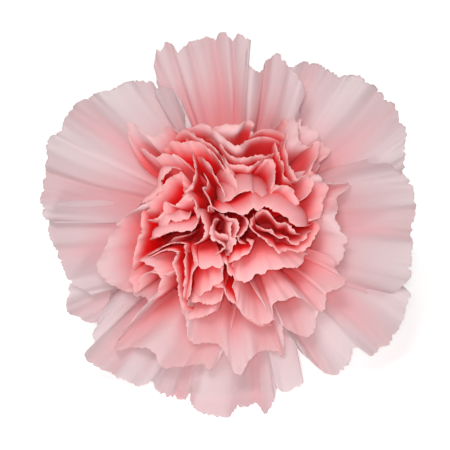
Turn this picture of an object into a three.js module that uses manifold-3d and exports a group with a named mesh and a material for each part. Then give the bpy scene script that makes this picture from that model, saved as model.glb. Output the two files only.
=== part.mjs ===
// A cut carnation lying on a surface: a double bloom on its calyx, a short stem and a pair of leaves.
// Millimetres, +Z up, the surface at z = 0. The bloom leans on its lowest petals and faces -Y and up.
import * as THREE from "three";
import { mergeVertices } from "three/addons/utils/BufferGeometryUtils.js";
import Module from "manifold-3d";

const wasm = await Module();
wasm.setup();
const { Manifold } = wasm;

// ---- driving dimensions ----
const faceTilt = 30; // degrees the bloom's face looks up from level
const mouthHeight = 28.6; // the bloom's own origin above the surface
const bladeThick = 0.6; // petals, thicker than life
const restGap = 0.2; // middle of a petal pressed on the surface, above it
const domeEdge = 5; // height of the head's outer rim over its origin
const domeRise = 17; // how much the middle of the head stands over the rim
const domeWidth = 19; // radius at which half of that rise is left
const rootRadius = 5; // where a petal's claw leaves the axis, unless the petal says otherwise
const rootHeight = 1;
const clawHalf = 1.6; // half the width of a claw
const calyxMouth = -4; // the calyx mouth, below the bloom's origin
const calyxLength = 27;
const calyxRadius = 6.8;
const calyxWall = 0.9;
const calyxTeeth = 5;
const toothLength = 3.4;
const bractLength = 10;
const stemRadius = 2.1;
const stemFlat = 0.3; // depth of the flat that the cut end rests on
const nodeSwelling = 1.2;
const leafHalf = 2.6;
const seat = 0.3; // clear space between two pieces that touch in life
const baseCentre = [-1.5, 41.56]; // middle of the whole part's footprint, below the bloom's own origin

// ---- the petals ----
// In the bloom's own frame: x right, y up, z out of its face. A petal is drawn by its margin, a line of
// x, y pairs; a margin point's height is the head's dome plus the petal's rise. flare: how far the lip
// leans out over the petal's wall, negative where the lip rolls inwards. foot: height of the wall's
// lower end. root: where the claw leaves the head. lean: how much one side stands over the other. fall:
// how far the margin's ends drop. bulge and sway: how much the wall widens and shifts half way up.
// stations and step: how the blade is divided, from inside the core out to the margin and along it.
const broad = { stations: [0.3, 0.55, 0.8, 1], broad: true };
const guard = {
  ...broad, arch: 1.5, foot: 4, frill: 0.9, flare: 26, fall: 1.2, bulge: 2.6, sway: 2, step: 5.7,
};
const crest = {
  ...broad, arch: 1, foot: 8, frill: 0.6, flare: 21, fall: 3, bulge: 2, sway: 1.5, step: 5.8,
};
const collar = {
  ...broad, arch: 0.8, foot: 6.5, frill: 0.8, flare: 12, fall: 1.6, bulge: 1.6, sway: 1.4, step: 5.8,
};
const heart = {
  stations: [0.15, 0.65, 1], arch: 0.3, foot: 9, frill: 0.45, flare: 2, fall: 2.2, bulge: 0.5, sway: 0.6,
  step: 3.8,
};

const petals = [
  // guard petals, the flat outermost ring, from the upper left round by the left, the bottom and the right
  [guard, { rise: 0.4, flare: 27, foot: 6, arch: 1.4, bulge: 0.5, sway: 0, fall: 0.4, lean: -1.6 }, [
    -10.4, 21,  -10.4, 23.5,  -10.8, 25.2,  -11.7, 27,  -12.9, 28.5,  -14.3, 29.4,  -15.6, 29.6,
    -16.5, 29,  -17, 28.2,  -17.3, 30.6,  -21, 31,  -27, 28.7,  -31, 27.7,  -35, 24.8,
    -36.6, 20.3,  -39.2, 18.5,  -40, 12,  -41, 7,  -40.4, 3.2,  -39.5, 1.5,  -38, 1.2]],
  [guard, { rise: -2.5, foot: 3.2 }, [
    -36, 8,  -39.3, 1,  -38.3, -4,  -36, -9,  -34.4, -11.5,  -30, -14]],
  [guard, { rise: -4, foot: 2.8 }, [
    -31, -5,  -34.3, -11,  -35.6, -16.8,  -34, -19,  -30, -20,  -25, -19]],
  [guard, { rise: -1.5, foot: 3.8 }, [
    -26, -13,  -29.7, -22,  -29.6, -24.3,  -31.6, -26.5,  -30.3, -28.8,  -26, -30.8,  -21, -33,
    -18, -32.2,  -12, -26]],
  [guard, { rise: -3.2, foot: 3 }, [
    -20, -25,  -17.5, -32.5,  -15.5, -35,  -12.5, -36,  -10.5, -36.2,  -9.6, -35,  -9.2, -37,
    -6, -38.8,  -1.5, -39.3,  0.8, -38.2,  4.5, -37,  6, -38.8,  8, -37,  8.5, -34,  9, -27]],
  [guard, { rise: -0.5, flare: 22, foot: 4.2, fall: 3 }, [
    7, -24,  8.3, -32,  9.6, -34.2,  14, -32.6,  13.6, -30,  12.6, -26,  12.2, -23]],
  [guard, { rise: -2.2, foot: 3.4, fall: 2.5 }, [
    10.5, -20,  13.2, -25.2,  15.5, -27.5,  18.5, -30.3,  21, -31,  23.5, -29,  24.6, -26.3,
    26, -25.2,  28.5, -26.8,  30.2, -26.3,  32.3, -25,  34.5, -21.5,  36, -17,  36.7, -14,
    35.5, -12.2,  32, -5]],
  [guard, { rise: 0, foot: 4.5 }, [
    31, -15,  36.3, -11,  36.9, -6,  37.5, 0,  38, 4.5,  37, 9,  35.2, 11,  30, 15]],
  [guard, { rise: -2, flare: 27, foot: 3.4 }, [
    31, 2,  35.3, 11,  35.7, 17,  36, 20.7,  34.5, 23,  34.4, 25.5,  32, 27.5,  28, 31.2,
    25, 32.2,  22, 32.1,  19, 34,  15.5, 35.1,  11.5, 34,  5, 27]],
  // the petal that stands up behind the head at the top
  [crest, { rise: 3.4, flare: 20, foot: 6, lean: 1.6 }, [
    -14.5, 24,  -15.6, 28.5,  -16.4, 30.5,  -16.7, 32.5,  -17, 34.4,  -16.6, 36,  -16.5, 37.5,
    -15.6, 37,  -14.9, 37.8,  -14.4, 39,  -13.2, 38.4,  -12, 37,  -10.8, 37.7,  -9.8, 38.8,
    -8.5, 39.2,  -6.3, 40,  -5, 39.8,  -4, 40.6,  -3, 40.8,  -1.8, 40.8,  -1.2, 40.2,  -0.4, 39.4,
    0.6, 40.5,  1.6, 40.1,  2.5, 39.6,  3.2, 38.9,  2.8, 37.6,  2.3, 36.2,  2.9, 35,  2.9, 34,
    3.6, 33.1,  4.6, 32.7,  5.6, 33.1,  6.1, 33.8,  6.2, 34.6,  6.7, 35.3,  7.6, 35.9,  8.2, 36.4,
    9.2, 36.2,  9.8, 35.5,  10.6, 34.9,  11, 33.6,  12, 32.7,  12.7, 32,  13.2, 31.1,  13.8, 30.3,
    14.2, 29.2,  14.5, 28,  14, 27,  13.4, 26.5,  13.4, 25,  13.6, 23,  13.4, 20]],
  // the middle petals
  [collar, { rise: 0.5, flare: 8, foot: 6.5 }, [
    -17, 7,  -20.5, 3.8,  -23, 2.7,  -25.5, 0,  -26.8, -3.5,  -28.6, -7.5,  -27.5, -10.5,
    -24, -13,  -18, -15]],
  [collar, { rise: 0.5, flare: 16, foot: 8 }, [
    -15, -12,  -20, -17.5,  -25.5, -25.2,  -21, -25,  -17.2, -25.5,  -16, -28,  -14, -29.6,
    -10, -29,  -7, -28.6,  -5, -29.6,  -2, -25]],
  [collar, { rise: 1, flare: 14, foot: 9.5 }, [
    -10.2, -17,  -10.1, -22,  -8.5, -24.2,  -5, -24,  -2.5, -25.3,  -0.5, -29.5,  1.2, -30.7,
    3, -27.5,  5, -26,  8.5, -25.9,  10.2, -26.6,  10, -20]],
  [collar, { rise: 0.5, flare: 12, foot: 9.5 }, [
    5.5, -15,  7.8, -18.6,  9.6, -20.4,  12, -21.8,  14.3, -22.7,  16, -22.5,  16.8, -20.3,
    17.2, -18.4,  18.3, -17.2]],
  [collar, { rise: 0.5, flare: 8, foot: 7 }, [
    20.3, -10,  21.5, -8,  23.3, -2.8,  22, -0.5,  20.7, 2,  21.6, 4.5,  21.3, 6.3,  24.2, 8.7,
    23, 9.4,  19.5, 9.2,  15, 12]],
  [collar, { rise: 2.4, flare: 6, foot: 8 }, [
    11.5, 25,  12.7, 21.5,  13, 18.8,  13.6, 17.8,  14.6, 17.2,  15.6, 17,  16.3, 17.5,
    16.6, 18.2,  17.5, 17.9,  17.9, 17,  17.6, 15.8,  17.2, 14.8,  16.5, 13.7,  16, 12.5,
    16.4, 11.5,  17, 10.6]],
  [collar, { rise: 3, flare: 3, foot: 8 }, [
    -5.5, 20.5,  -2.5, 20.9,  0.5, 20.8,  2.5, 22.3,  4, 21.6,  3.4, 19.8,  6, 20.6,  9.5, 20.2,
    10.5, 18]],
  [collar, { rise: 2.2, flare: 7, foot: 8 }, [
    -21.6, 17.2,  -22.2, 18.6,  -22.5, 20,  -22.5, 21.4,  -21.7, 22,  -19.5, 20.4,  -18.3, 19.2,
    -16.8, 19.1,  -15.6, 19.6,  -14.9, 20.4,  -14.5, 21.8,  -12.9, 20.9,  -11.4, 20,  -10.5, 19.2]],
  [collar, { rise: 2.5, flare: 3, foot: 8 }, [
    -12, 20,  -9, 21.2,  -7, 21.6,  -5.3, 20.9,  -4, 19.4,  -2.2, 18.2,  -0.8, 17,  0.2, 16.6,
    1.3, 17,  2.3, 18.2,  3.5, 18.6,  6, 19,  8.6, 18.4]],
  [collar, { rise: 1, flare: 8, foot: 6.5 }, [
    13, 24,  13.9, 21.7,  14.8, 21.2,  15.6, 20.9,  16.4, 20.3,  17.2, 19.6,  17.8, 18.6,
    18.8, 17.2,  19.8, 16.5,  19.6, 15.4,  18.4, 15.2,  17.8, 14.4,  17.6, 12.5]],
  // the crumpled petals of the heart
  [heart, { rise: 2, flare: 9, foot: 12 }, [
    -20.9, 16.9,  -19.6, 16.5,  -18.6, 16.2,  -17.6, 15.3,  -16.3, 14.9,  -15, 15.3,  -13.6, 15.4,
    -12.2, 15.1,  -11, 14.3,  -9.8, 13.4]],
  [heart, { rise: 2, flare: 8, foot: 13 }, [
    -15, 16,  -13.8, 17.4,  -12.9, 18,  -11, 17.9,  -9, 17.9,  -7, 17.5,  -5.3, 16.3,  -3.7, 14.4,
    -2.8, 13,  -1.7, 11.4]],
  [heart, { rise: 2, flare: 2.5, foot: 9 }, [
    -12.5, 18.9,  -10.6, 20.4,  -8.7, 19.4,  -6.5, 18.1,  -4.7, 16.9,  -3, 15,  -2.4, 13.6,
    -1, 11.8,  -0.2, 11]],
  [heart, { rise: 1.5, flare: 3, foot: 9 }, [
    -6, 19.6,  -3.9, 18.7,  -2.9, 17.3,  -2, 16,  -0.8, 14.8,  0.7, 14.3,  2.5, 14.5,  4.5, 15,
    6.3, 15,  8.1, 15.4]],
  [heart, { rise: 1.5, flare: 3, foot: 10 }, [
    -2.4, 15,  -1.6, 13.6,  -0.4, 12.8,  1.3, 12.9,  3.3, 12.6,  4.7, 13.6,  6.3, 14.5]],
  [heart, { rise: 2, flare: 5, foot: 11, root: [3, 4] }, [
    5.3, 13.3,  6.6, 14.3,  7.8, 13.9,  8.4, 12.6,  8.1, 10.6,  7.9, 8.6,  7.2, 6.3]],
  [heart, { rise: 1, flare: 2, foot: 9 }, [
    8.8, 19.3,  8.3, 18,  8.6, 16.5,  9.4, 14.5,  10, 12.5,  10, 10.6,  12, 9.4]],
  [heart, { rise: 2, flare: 2, foot: 8.5 }, [
    8.8, 24,  10.2, 23,  10.9, 21,  10.9, 19.3,  10.4, 17,  10.8, 15,  11.3, 13,  12, 11.3,
    12.9, 9.9,  13.9, 10.8,  15.2, 10.9]],
  [heart, { rise: 2.5, flare: 5, foot: 11 }, [
    12.5, 9.6,  14.5, 10.9,  15.9, 10.4,  16.1, 9,  15.6, 7.5,  14.7, 6.5,  13.1, 5.8]],
  [heart, { rise: 1, flare: 6.5, foot: 11 }, [
    16.5, 11,  18.2, 9.8,  19.2, 8.3,  18.7, 6.3,  18.2, 4,  17.4, 2.2,  16.2, 1.7,  15, 0.9]],
  [heart, { rise: 3, flare: 6.5, foot: 15 }, [
    7.8, 9,  8.8, 8.6,  10.2, 8.7,  11.3, 8.3,  12.1, 7.6,  12.6, 6.4,  13, 5,  12, 4.6]],
  [heart, { rise: 3.5, flare: -7.5, foot: 10, root: [4, 0.5], arch: -2 }, [
    -5.2, 3.2,  -4.6, 4.2,  -3, 3.3,  -1.6, 3.5,  -0.2, 3.3,  1.1, 2.7,  2.5, 3.1,  3.6, 4.1,
    4.6, 3.6,  6.5, 4.5,  8.5, 3.3,  11, 1.5,  12.5, 0.4,  14.9, 0.6]],
  [heart, { rise: 1.5, flare: 2.5, foot: 10, root: [9, -0.5] }, [
    3.9, 2.7,  3.1, 1.6,  3.1, 0.4,  4.2, -0.9,  5.4, -2.2,  6.3, -3,  8, -3.9,  9, -5,  11, -4.6,
    13.3, -4.9,  15, -3.9,  16.3, -2.4,  17.2, -0.7,  17.3, 0,  16.9, 1.8]],
  [heart, { rise: 1.5, flare: 1.5, foot: 10, root: [8, 0.8] }, [
    4, 0.8,  5.3, 0.1,  6.8, -0.6,  8, -1.3,  9, -1.9,  10.2, -1.7,  11.1, -2.2,  11.3, -3,
    12.5, -3.3,  14, -2.6,  15, -1.2,  16, -0.5]],
  [heart, { rise: 1.5, flare: 1.5, foot: 10, root: [9, -1.5] }, [
    4, 2.5,  5.6, 3.6,  7, 3,  8, 1.8,  8.8, 0.9,  10.5, 0.9,  11.5, 0,  12.5, -1,  14, -1.5]],
  [heart, { rise: 1, flare: 4.5, foot: 13, root: [-2, -1] }, [
    -3.4, 3.2,  -1.6, 2.2,  0.2, 1.6,  0.7, 0.3,  0.1, -1.8,  -0.3, -3.6,  -1.1, -5.2,
    -1.9, -5.8]],
  [heart, { rise: 1, flare: 4, foot: 13, root: [-3, -1.5] }, [
    -3.2, 1.9,  -4.5, 1.5,  -5, -0.5,  -4.8, -2,  -4, -2.8,  -2.6, -3.2,  -2.2, -4.4,  -3.8, -5.1,
    -4.6, -5.9]],
  [heart, { rise: 0.5, flare: -4, foot: 8 }, [
    -20.5, 4.2,  -17, 6.2,  -16, 6.9,  -15, 8.2,  -15.1, 9.5,  -14.3, 11.4,  -12.5, 12.2,
    -11.2, 12.3]],
  [heart, { rise: 0.5, flare: 6.5, foot: 11 }, [
    -18.6, 2.4,  -18, 4.5,  -16.9, 6.3,  -15.3, 8,  -14, 10,  -12.2, 10.9,  -11, 11.5,  -10.8, 10,
    -10.9, 8.5,  -10.4, 7.3]],
  [heart, { rise: 2.5, flare: 1.5, foot: 9 }, [
    -8.7, 15.4,  -8.4, 13,  -8, 11.5,  -8.6, 9.8,  -9.4, 8.2,  -10.6, 6.6]],
  [heart, { rise: 2, flare: 5, foot: 12 }, [
    -7.9, 14.8,  -6.9, 14.6,  -6, 13.6,  -5, 12.8,  -4.6, 11.3,  -3.9, 10.5,  -3.6, 9.5,  -3, 8.6,
    -2.6, 7.5,  -2.4, 6.3,  -2.7, 5.5]],
  [heart, { rise: 1.5, flare: 3, foot: 10 }, [
    -6.6, 11.5,  -5.6, 9.5,  -6.6, 8.2,  -5.8, 7,  -5.3, 6,  -5.1, 4.8,  -4.3, 3.6]],
  [heart, { rise: 1, flare: 2.5, foot: 7.5 }, [
    -19.7, 4.4,  -19.4, 3,  -19.5, 0.5,  -19.8, -1.5,  -20.5, -4,  -21.2, -6.5,  -21.2, -9]],
  [heart, { rise: 2, flare: 6, foot: 13 }, [
    -18.4, 1.6,  -16.5, 1.9,  -15.3, 2.5,  -14.7, 4,  -14.4, 5.4,  -13, 4.7,  -11.6, 5.2,
    -10.4, 6.4,  -9.3, 8]],
  [heart, { rise: 2, flare: -5, foot: 10, root: [-9, -3] }, [
    -17.5, -2.2,  -16, -1.8,  -14.2, -1,  -12.5, -0.5,  -10.5, -0.7,  -9, -0.5,  -8, 0.5,
    -7.6, 2,  -8.5, 4]],
  [heart, { rise: 1, flare: 2, foot: 9 }, [
    -18, -5.6,  -16.3, -4.7,  -14.8, -3.8,  -13.5, -3.2,  -12, -3,  -10.5, -3.2,  -10.3, -4.2,
    -10, -5]],
  [heart, { rise: 1.5, flare: 2, foot: 8.5 }, [
    -18.6, -6.6,  -17.2, -5.9,  -15.8, -5.1,  -14.3, -4.6,  -12.8, -4.7,  -12.2, -5.6,
    -12.8, -7.5,  -12.3, -8.8,  -12, -10,  -11.8, -12.5,  -11.4, -15,  -10.6, -16.8,  -9, -17.6]],
  [heart, { rise: 0.5, flare: 8, foot: 11 }, [
    -21, -6.6,  -19, -6.9,  -18.2, -7.6,  -17, -8.6,  -15.7, -9.7,  -14.5, -9.8,  -13.3, -10]],
  [heart, { rise: 0.5, flare: 6.5, foot: 8.5 }, [
    -21.2, -8,  -22, -10.6,  -21.5, -11.9,  -20.6, -13.5,  -20, -12,  -20, -10.5,  -18.7, -9.5,
    -17, -9.2,  -15.7, -10,  -15.8, -12,  -16.3, -14,  -17.8, -15.5,  -19, -16.5]],
  [heart, { rise: 2, flare: 0.8, foot: 9 }, [
    -10.3, -4.8,  -10.2, -7,  -10.3, -9,  -10.5, -12,  -10.8, -14.8]],
  [heart, { rise: 2.5, flare: 2.5, foot: 11, root: [-8.5, -2] }, [
    -8.8, -5,  -8.3, -6.2,  -7.7, -7.4,  -8.4, -8.4,  -8.9, -9.5,  -9, -11.5,  -9.3, -13.5,
    -10, -15.3]],
  [heart, { rise: 1.5, flare: 8, foot: 14, root: [-5, -3] }, [
    -8.3, -13.8,  -7.3, -14.1,  -6.3, -13,  -5.2, -12.9,  -4.6, -11.8,  -3.3, -11.7,  -2.5, -10.6,
    -2.7, -9,  -2.4, -7.8]],
  [heart, { rise: 1.5, flare: 6.5, foot: 15, root: [-6, -1] }, [
    -8.7, -5.2,  -8, -8,  -6.5, -8.2,  -4.8, -8,  -3, -8,  -2.5, -7,  -3.6, -6.4]],
  [heart, { rise: 0.5, flare: 6.5, foot: 10 }, [
    -9.8, -14.8,  -7.8, -15.4,  -6, -15.7,  -4.2, -15.6,  -3, -15,  -2.6, -13.5]],
  [heart, { rise: 0.5, flare: 5, foot: 9 }, [
    -11.5, -15.4,  -10.5, -18.6,  -8.5, -18.8,  -6, -18.1,  -3.5, -17]],
  [heart, { rise: 1, flare: 4, foot: 8 }, [
    -5, -11.6,  -3.6, -12,  -2.4, -12.4,  -1.8, -14,  -0.6, -15.4,  0.8, -17,  2.2, -18.4,
    4, -19.8,  5.3, -20.4,  6.5, -20.3,  7.6, -20.2]],
  [heart, { rise: 1.8, flare: 10, foot: 13, root: [3, -4] }, [
    -0.6, -12.2,  0.3, -14.8,  0.5, -16.2,  1.6, -17.8,  3.2, -19.2,  5.5, -20,  7.6, -19.4,
    7.8, -17.8,  7.7, -16.3,  9, -15.4,  11, -14.6,  12.2, -14.1,  14.3, -15,  16.8, -16.8,
    18.1, -17.3,  18.8, -16.4,  19.1, -15,  18.8, -13.6,  21, -13.3,  23, -11,  21.5, -9.5,
    20.3, -6]],
  [heart, { rise: 1.5, flare: 8, foot: 14, root: [4, -0.5] }, [
    -1, -8.5,  0, -9.8,  1, -10.8,  2.3, -11,  4.3, -9.7,  6.2, -9.2,  7.5, -8.6,  9, -8.3,
    11, -8.1,  13, -7.9,  14.5, -6.7,  15.5, -5.5]],
  [heart, { rise: 2, flare: 6, foot: 12, root: [2.5, -2] }, [
    -1.6, -7.2,  -0.3, -6.6,  0.8, -6.3,  1.3, -5.6,  2.4, -5.2,  3.2, -4.4,  3.3, -3,  2.6, -2.2]],
  [heart, { rise: 1.5, flare: 4.5, foot: 12, root: [-4, 0] }, [
    -7.5, 4,  -6.9, 2.4,  -6.4, 0.5,  -6.2, -1.3,  -7, -2.6,  -8.6, -3.4]],
  [heart, { rise: 1, flare: 4, foot: 13, root: [0.5, 0] }, [
    1.2, 2.4,  2.4, 1.6,  2.5, 0.3,  1.8, -0.6,  1, -1.7,  0.8, -2.9,  2, -3.1]],
  [heart, { rise: 1.5, flare: 4.5, foot: 11, root: [-1, -4] }, [
    -2.8, -6.6,  -1.7, -7.4,  -1.5, -9,  -0.6, -10.2,  0.7, -11.2]],
  [heart, { rise: 1.5, flare: 2.5, foot: 11, root: [-6, 3] }, [
    -10.2, 5,  -9.2, 6.2,  -8.2, 5.6,  -8.4, 4.2,  -7.9, 3.1,  -7.4, 1.7]],
  [heart, { rise: 1.5, flare: -9, foot: 7, root: [4, 0.5], arch: -4 }, [
    -3.2, 5.2,  -2.2, 5.2,  -0.7, 6.1,  0.8, 7.1,  1.6, 7.2,  2.3, 7.6,  3.3, 7.7,  3.9, 6.7,
    4.8, 6.3,  6.1, 6.7,  7.2, 6.8]],
  [heart, { rise: 1.5, flare: -5, foot: 10, root: [-9, -3] }, [
    -15, -0.8,  -14.2, 0,  -13.7, 0.8,  -13.3, 1.7,  -12.2, 1.35,  -11.2, 1.6,  -10.6, 2,
    -9.7, 1.7,  -9.3, 2.4,  -9.1, 3.2]],
  [heart, { rise: -1.5, flare: 1.2, foot: 10 }, [
    -13.7, -2.9,  -13, -2.3,  -12.2, -1.9,  -11.1, -1.7,  -9.6, -1.35,  -8.6, -0.9]],
  [heart, { rise: 1, flare: 3, foot: 13, root: [-3, -1.5] }, [
    -1.2, 1.5,  -0.8, 0.9,  -0.9, 0,  -1, -0.8,  -0.8, -1.7,  -0.6, -2.5,  -0.7, -3.3,
    -1.1, -4.2,  -1.5, -4.9]],
  [heart, { rise: 0.3, flare: -2.5, foot: 14, root: [-3, 1] }, [
    -4.3, -0.4,  -3.7, -0.95,  -3, -1.3,  -2.3, -1.4,  -1.6, -1.6,  -1.3, -2.1,  -1.3, -3,
    -1.8, -3.9]],
  [heart, { rise: 1.8, flare: 4, foot: 12, root: [-4, 4] }, [
    -2.2, 13,  -1, 11.4,  -0.2, 10.2,  0.6, 9,  0.5, 7.6,  -0.6, 6.2]],
];

// ---- small helpers ----
const rad = Math.PI / 180;
const clamp = (x, a, b) => Math.min(b, Math.max(a, x));
const smooth = (a, b, x) => {
  const t = clamp((x - a) / (b - a), 0, 1);
  return t * t * (3 - 2 * t);
};
const dome = (r) => domeEdge + domeRise / (1 + Math.pow(r / domeWidth, 3));

// A draw from 0 to 1 that is the same on every run.
function draw(seed) {
  const x = Math.sin(seed * 12.9898 + 4.1414) * 43758.5453;
  return x - Math.floor(x);
}

// From the bloom's frame to the part's: the face looks along -Y and up.
const tilt = faceTilt * rad;
const axisOut = new THREE.Vector3(0, -Math.cos(tilt), Math.sin(tilt));
const axisUp = new THREE.Vector3(0, Math.sin(tilt), Math.cos(tilt));
const bloomFrame = new THREE.Matrix4()
  .makeBasis(new THREE.Vector3(1, 0, 0), axisUp, axisOut)
  .setPosition(0, 0, mouthHeight);
const place = (p) => p.clone().applyMatrix4(bloomFrame);

// A petal that would sink into the surface is bent forwards along its own axis until it lies on it.
function restOnSurface(p) {
  const floor = (restGap - mouthHeight - p.y * Math.cos(tilt)) / Math.sin(tilt);
  const d = p.z - floor;
  p.z = floor + 0.5 * (d + Math.sqrt(d * d + 0.6));
  return p;
}

// Points along a line of x, y pairs, smoothed by Catmull-Rom, at equal steps of its length.
function alongLine(flat, count) {
  const pts = [];
  for (let i = 0; i < flat.length; i += 2) pts.push(new THREE.Vector2(flat[i], flat[i + 1]));
  const at = [0];
  for (let i = 1; i < pts.length; i++) at.push(at[i - 1] + pts[i].distanceTo(pts[i - 1]));
  const last = pts.length - 1;
  const before = pts[0].clone().multiplyScalar(2).sub(pts[1]);
  const after = pts[last].clone().multiplyScalar(2).sub(pts[last - 1]);
  const get = (i) => (i < 0 ? before : i > last ? after : pts[i]);
  const out = [];
  for (let k = 0; k <= count; k++) {
    const s = (at[last] * k) / count;
    let i = 0;
    while (i < last - 1 && s > at[i + 1]) i++;
    const t = (s - at[i]) / (at[i + 1] - at[i]);
    const [a, b, c, d] = [get(i - 1), get(i), get(i + 1), get(i + 2)];
    const blend = (p, q, r, w) =>
      0.5 * (2 * q + (r - p) * t + (2 * p - 5 * q + 4 * r - w) * t * t + (3 * q - p - 3 * r + w) * t ** 3);
    out.push({ s, x: blend(a.x, b.x, c.x, d.x), y: blend(a.y, b.y, c.y, d.y) });
  }
  return { points: out, length: at[last] };
}

function lineLength(flat) {
  let sum = 0;
  for (let i = 2; i < flat.length; i += 2) {
    sum += Math.hypot(flat[i] - flat[i - 2], flat[i + 1] - flat[i - 1]);
  }
  return sum;
}

// ---- solids ----
// A closed geometry as a solid: its shared points merged, its empty triangles dropped, its faces out.
function solidFrom(geometry) {
  geometry.deleteAttribute("normal");
  geometry.deleteAttribute("uv");
  const merged = mergeVertices(geometry, 1e-4);
  const index = merged.index.array;
  const triangles = [];
  for (let i = 0; i < index.length; i += 3) {
    const [a, b, c] = index.slice(i, i + 3);
    if (a !== b && b !== c && c !== a) triangles.push(a, b, c);
  }
  const make = (list) => new Manifold(
    new wasm.Mesh({
      numProp: 3,
      vertProperties: merged.attributes.position.array,
      triVerts: new Uint32Array(list),
    }),
  );
  const made = make(triangles);
  return made.volume() < 0 ? make(triangles.reverse()) : made;
}

// Pockets closed off where blades cross are filled: only a solid's outer skin is kept.
const outerSkin = (made) => made.decompose().reduce((a, b) => (b.volume() > a.volume() ? b : a));

// A solid of revolution about the bloom's axis; its profile of [radius, height] starts and ends on it.
function turned(profile, sides, reshape) {
  const geometry = new THREE.LatheGeometry(profile.map(([r, z]) => new THREE.Vector2(r, z)), sides);
  geometry.rotateX(Math.PI / 2);
  if (reshape) {
    const position = geometry.getAttribute("position");
    const p = new THREE.Vector3();
    for (let i = 0; i < position.count; i++) {
      reshape(p.fromBufferAttribute(position, i), i % profile.length);
      position.setXYZ(i, p.x, p.y, p.z);
    }
  }
  geometry.applyMatrix4(bloomFrame);
  return solidFrom(geometry);
}

// Normals of a grid of points, rows by columns.
function gridNormals(grid) {
  const rows = grid.length;
  const cols = grid[0].length;
  return grid.map((line, j) =>
    line.map((p, i) => {
      const du = grid[j][Math.min(i + 1, cols - 1)].clone().sub(grid[j][Math.max(i - 1, 0)]);
      const dv = grid[Math.min(j + 1, rows - 1)][i].clone().sub(grid[Math.max(j - 1, 0)][i]);
      return du.cross(dv).normalize();
    }),
  );
}

// Both faces of a thickened grid, flattened where they meet the surface.
function faces(grid, thick) {
  const normals = gridNormals(grid);
  const offset = (by) => grid.map((line, j) => line.map((p, i) => {
    const q = p.clone().addScaledVector(normals[j][i], by);
    return q.setZ(Math.max(q.z, 0));
  }));
  return [offset(thick / 2), offset(-thick / 2)];
}

function solidOf(points, triangles) {
  const coordinates = new Float32Array(points.flatMap((p) => p.toArray()));
  const geometry = new THREE.BufferGeometry()
    .setAttribute("position", new THREE.BufferAttribute(coordinates, 3))
    .setIndex(triangles.flat());
  return solidFrom(geometry);
}

// A thickened grid as one solid: both faces and the rim round them.
function blade(grid, thick) {
  const rows = grid.length;
  const cols = grid[0].length;
  const [top, low] = faces(grid, thick);
  const points = [...top.flat(), ...low.flat()];
  const triangles = [];
  const id = (j, i) => j * cols + i;
  const under = rows * cols;
  for (let j = 0; j < rows - 1; j++) {
    for (let i = 0; i < cols - 1; i++) {
      const [a, b, c, d] = [id(j, i), id(j, i + 1), id(j + 1, i + 1), id(j + 1, i)];
      triangles.push([a, b, c], [a, c, d]);
      triangles.push([a + under, c + under, b + under], [a + under, d + under, c + under]);
    }
  }
  const rim = [];
  for (let i = 0; i < cols - 1; i++) rim.push(id(0, i));
  for (let j = 0; j < rows - 1; j++) rim.push(id(j, cols - 1));
  for (let i = cols - 1; i > 0; i--) rim.push(id(rows - 1, i));
  for (let j = rows - 1; j > 0; j--) rim.push(id(j, 0));
  rim.forEach((a, k) => {
    const b = rim[(k + 1) % rim.length];
    triangles.push([b, a, a + under], [b, a + under, b + under]);
  });
  return solidOf(points, triangles);
}

// A thickened grid as small closed blocks that share their sides, so that a petal folded on itself
// still fuses into one clean solid. The diagonals run the same way along each shared side.
function bladeCells(grid, thick) {
  const [top, low] = faces(grid, thick);
  const cells = [];
  for (let j = 0; j < grid.length - 1; j++) {
    for (let i = 0; i < grid[0].length - 1; i++) {
      const ring = [[j, i], [j, i + 1], [j + 1, i + 1], [j + 1, i]];
      const points = [top, low].flatMap((side) => ring.map(([a, b]) => side[a][b]));
      cells.push(solidOf(points, [
        [0, 1, 2], [0, 2, 3],
        [4, 6, 5], [4, 7, 6],
        [0, 5, 1], [0, 4, 5],
        [1, 6, 2], [1, 5, 6],
        [3, 2, 6], [3, 6, 7],
        [0, 3, 7], [0, 7, 4],
      ]));
    }
  }
  return cells;
}

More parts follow.
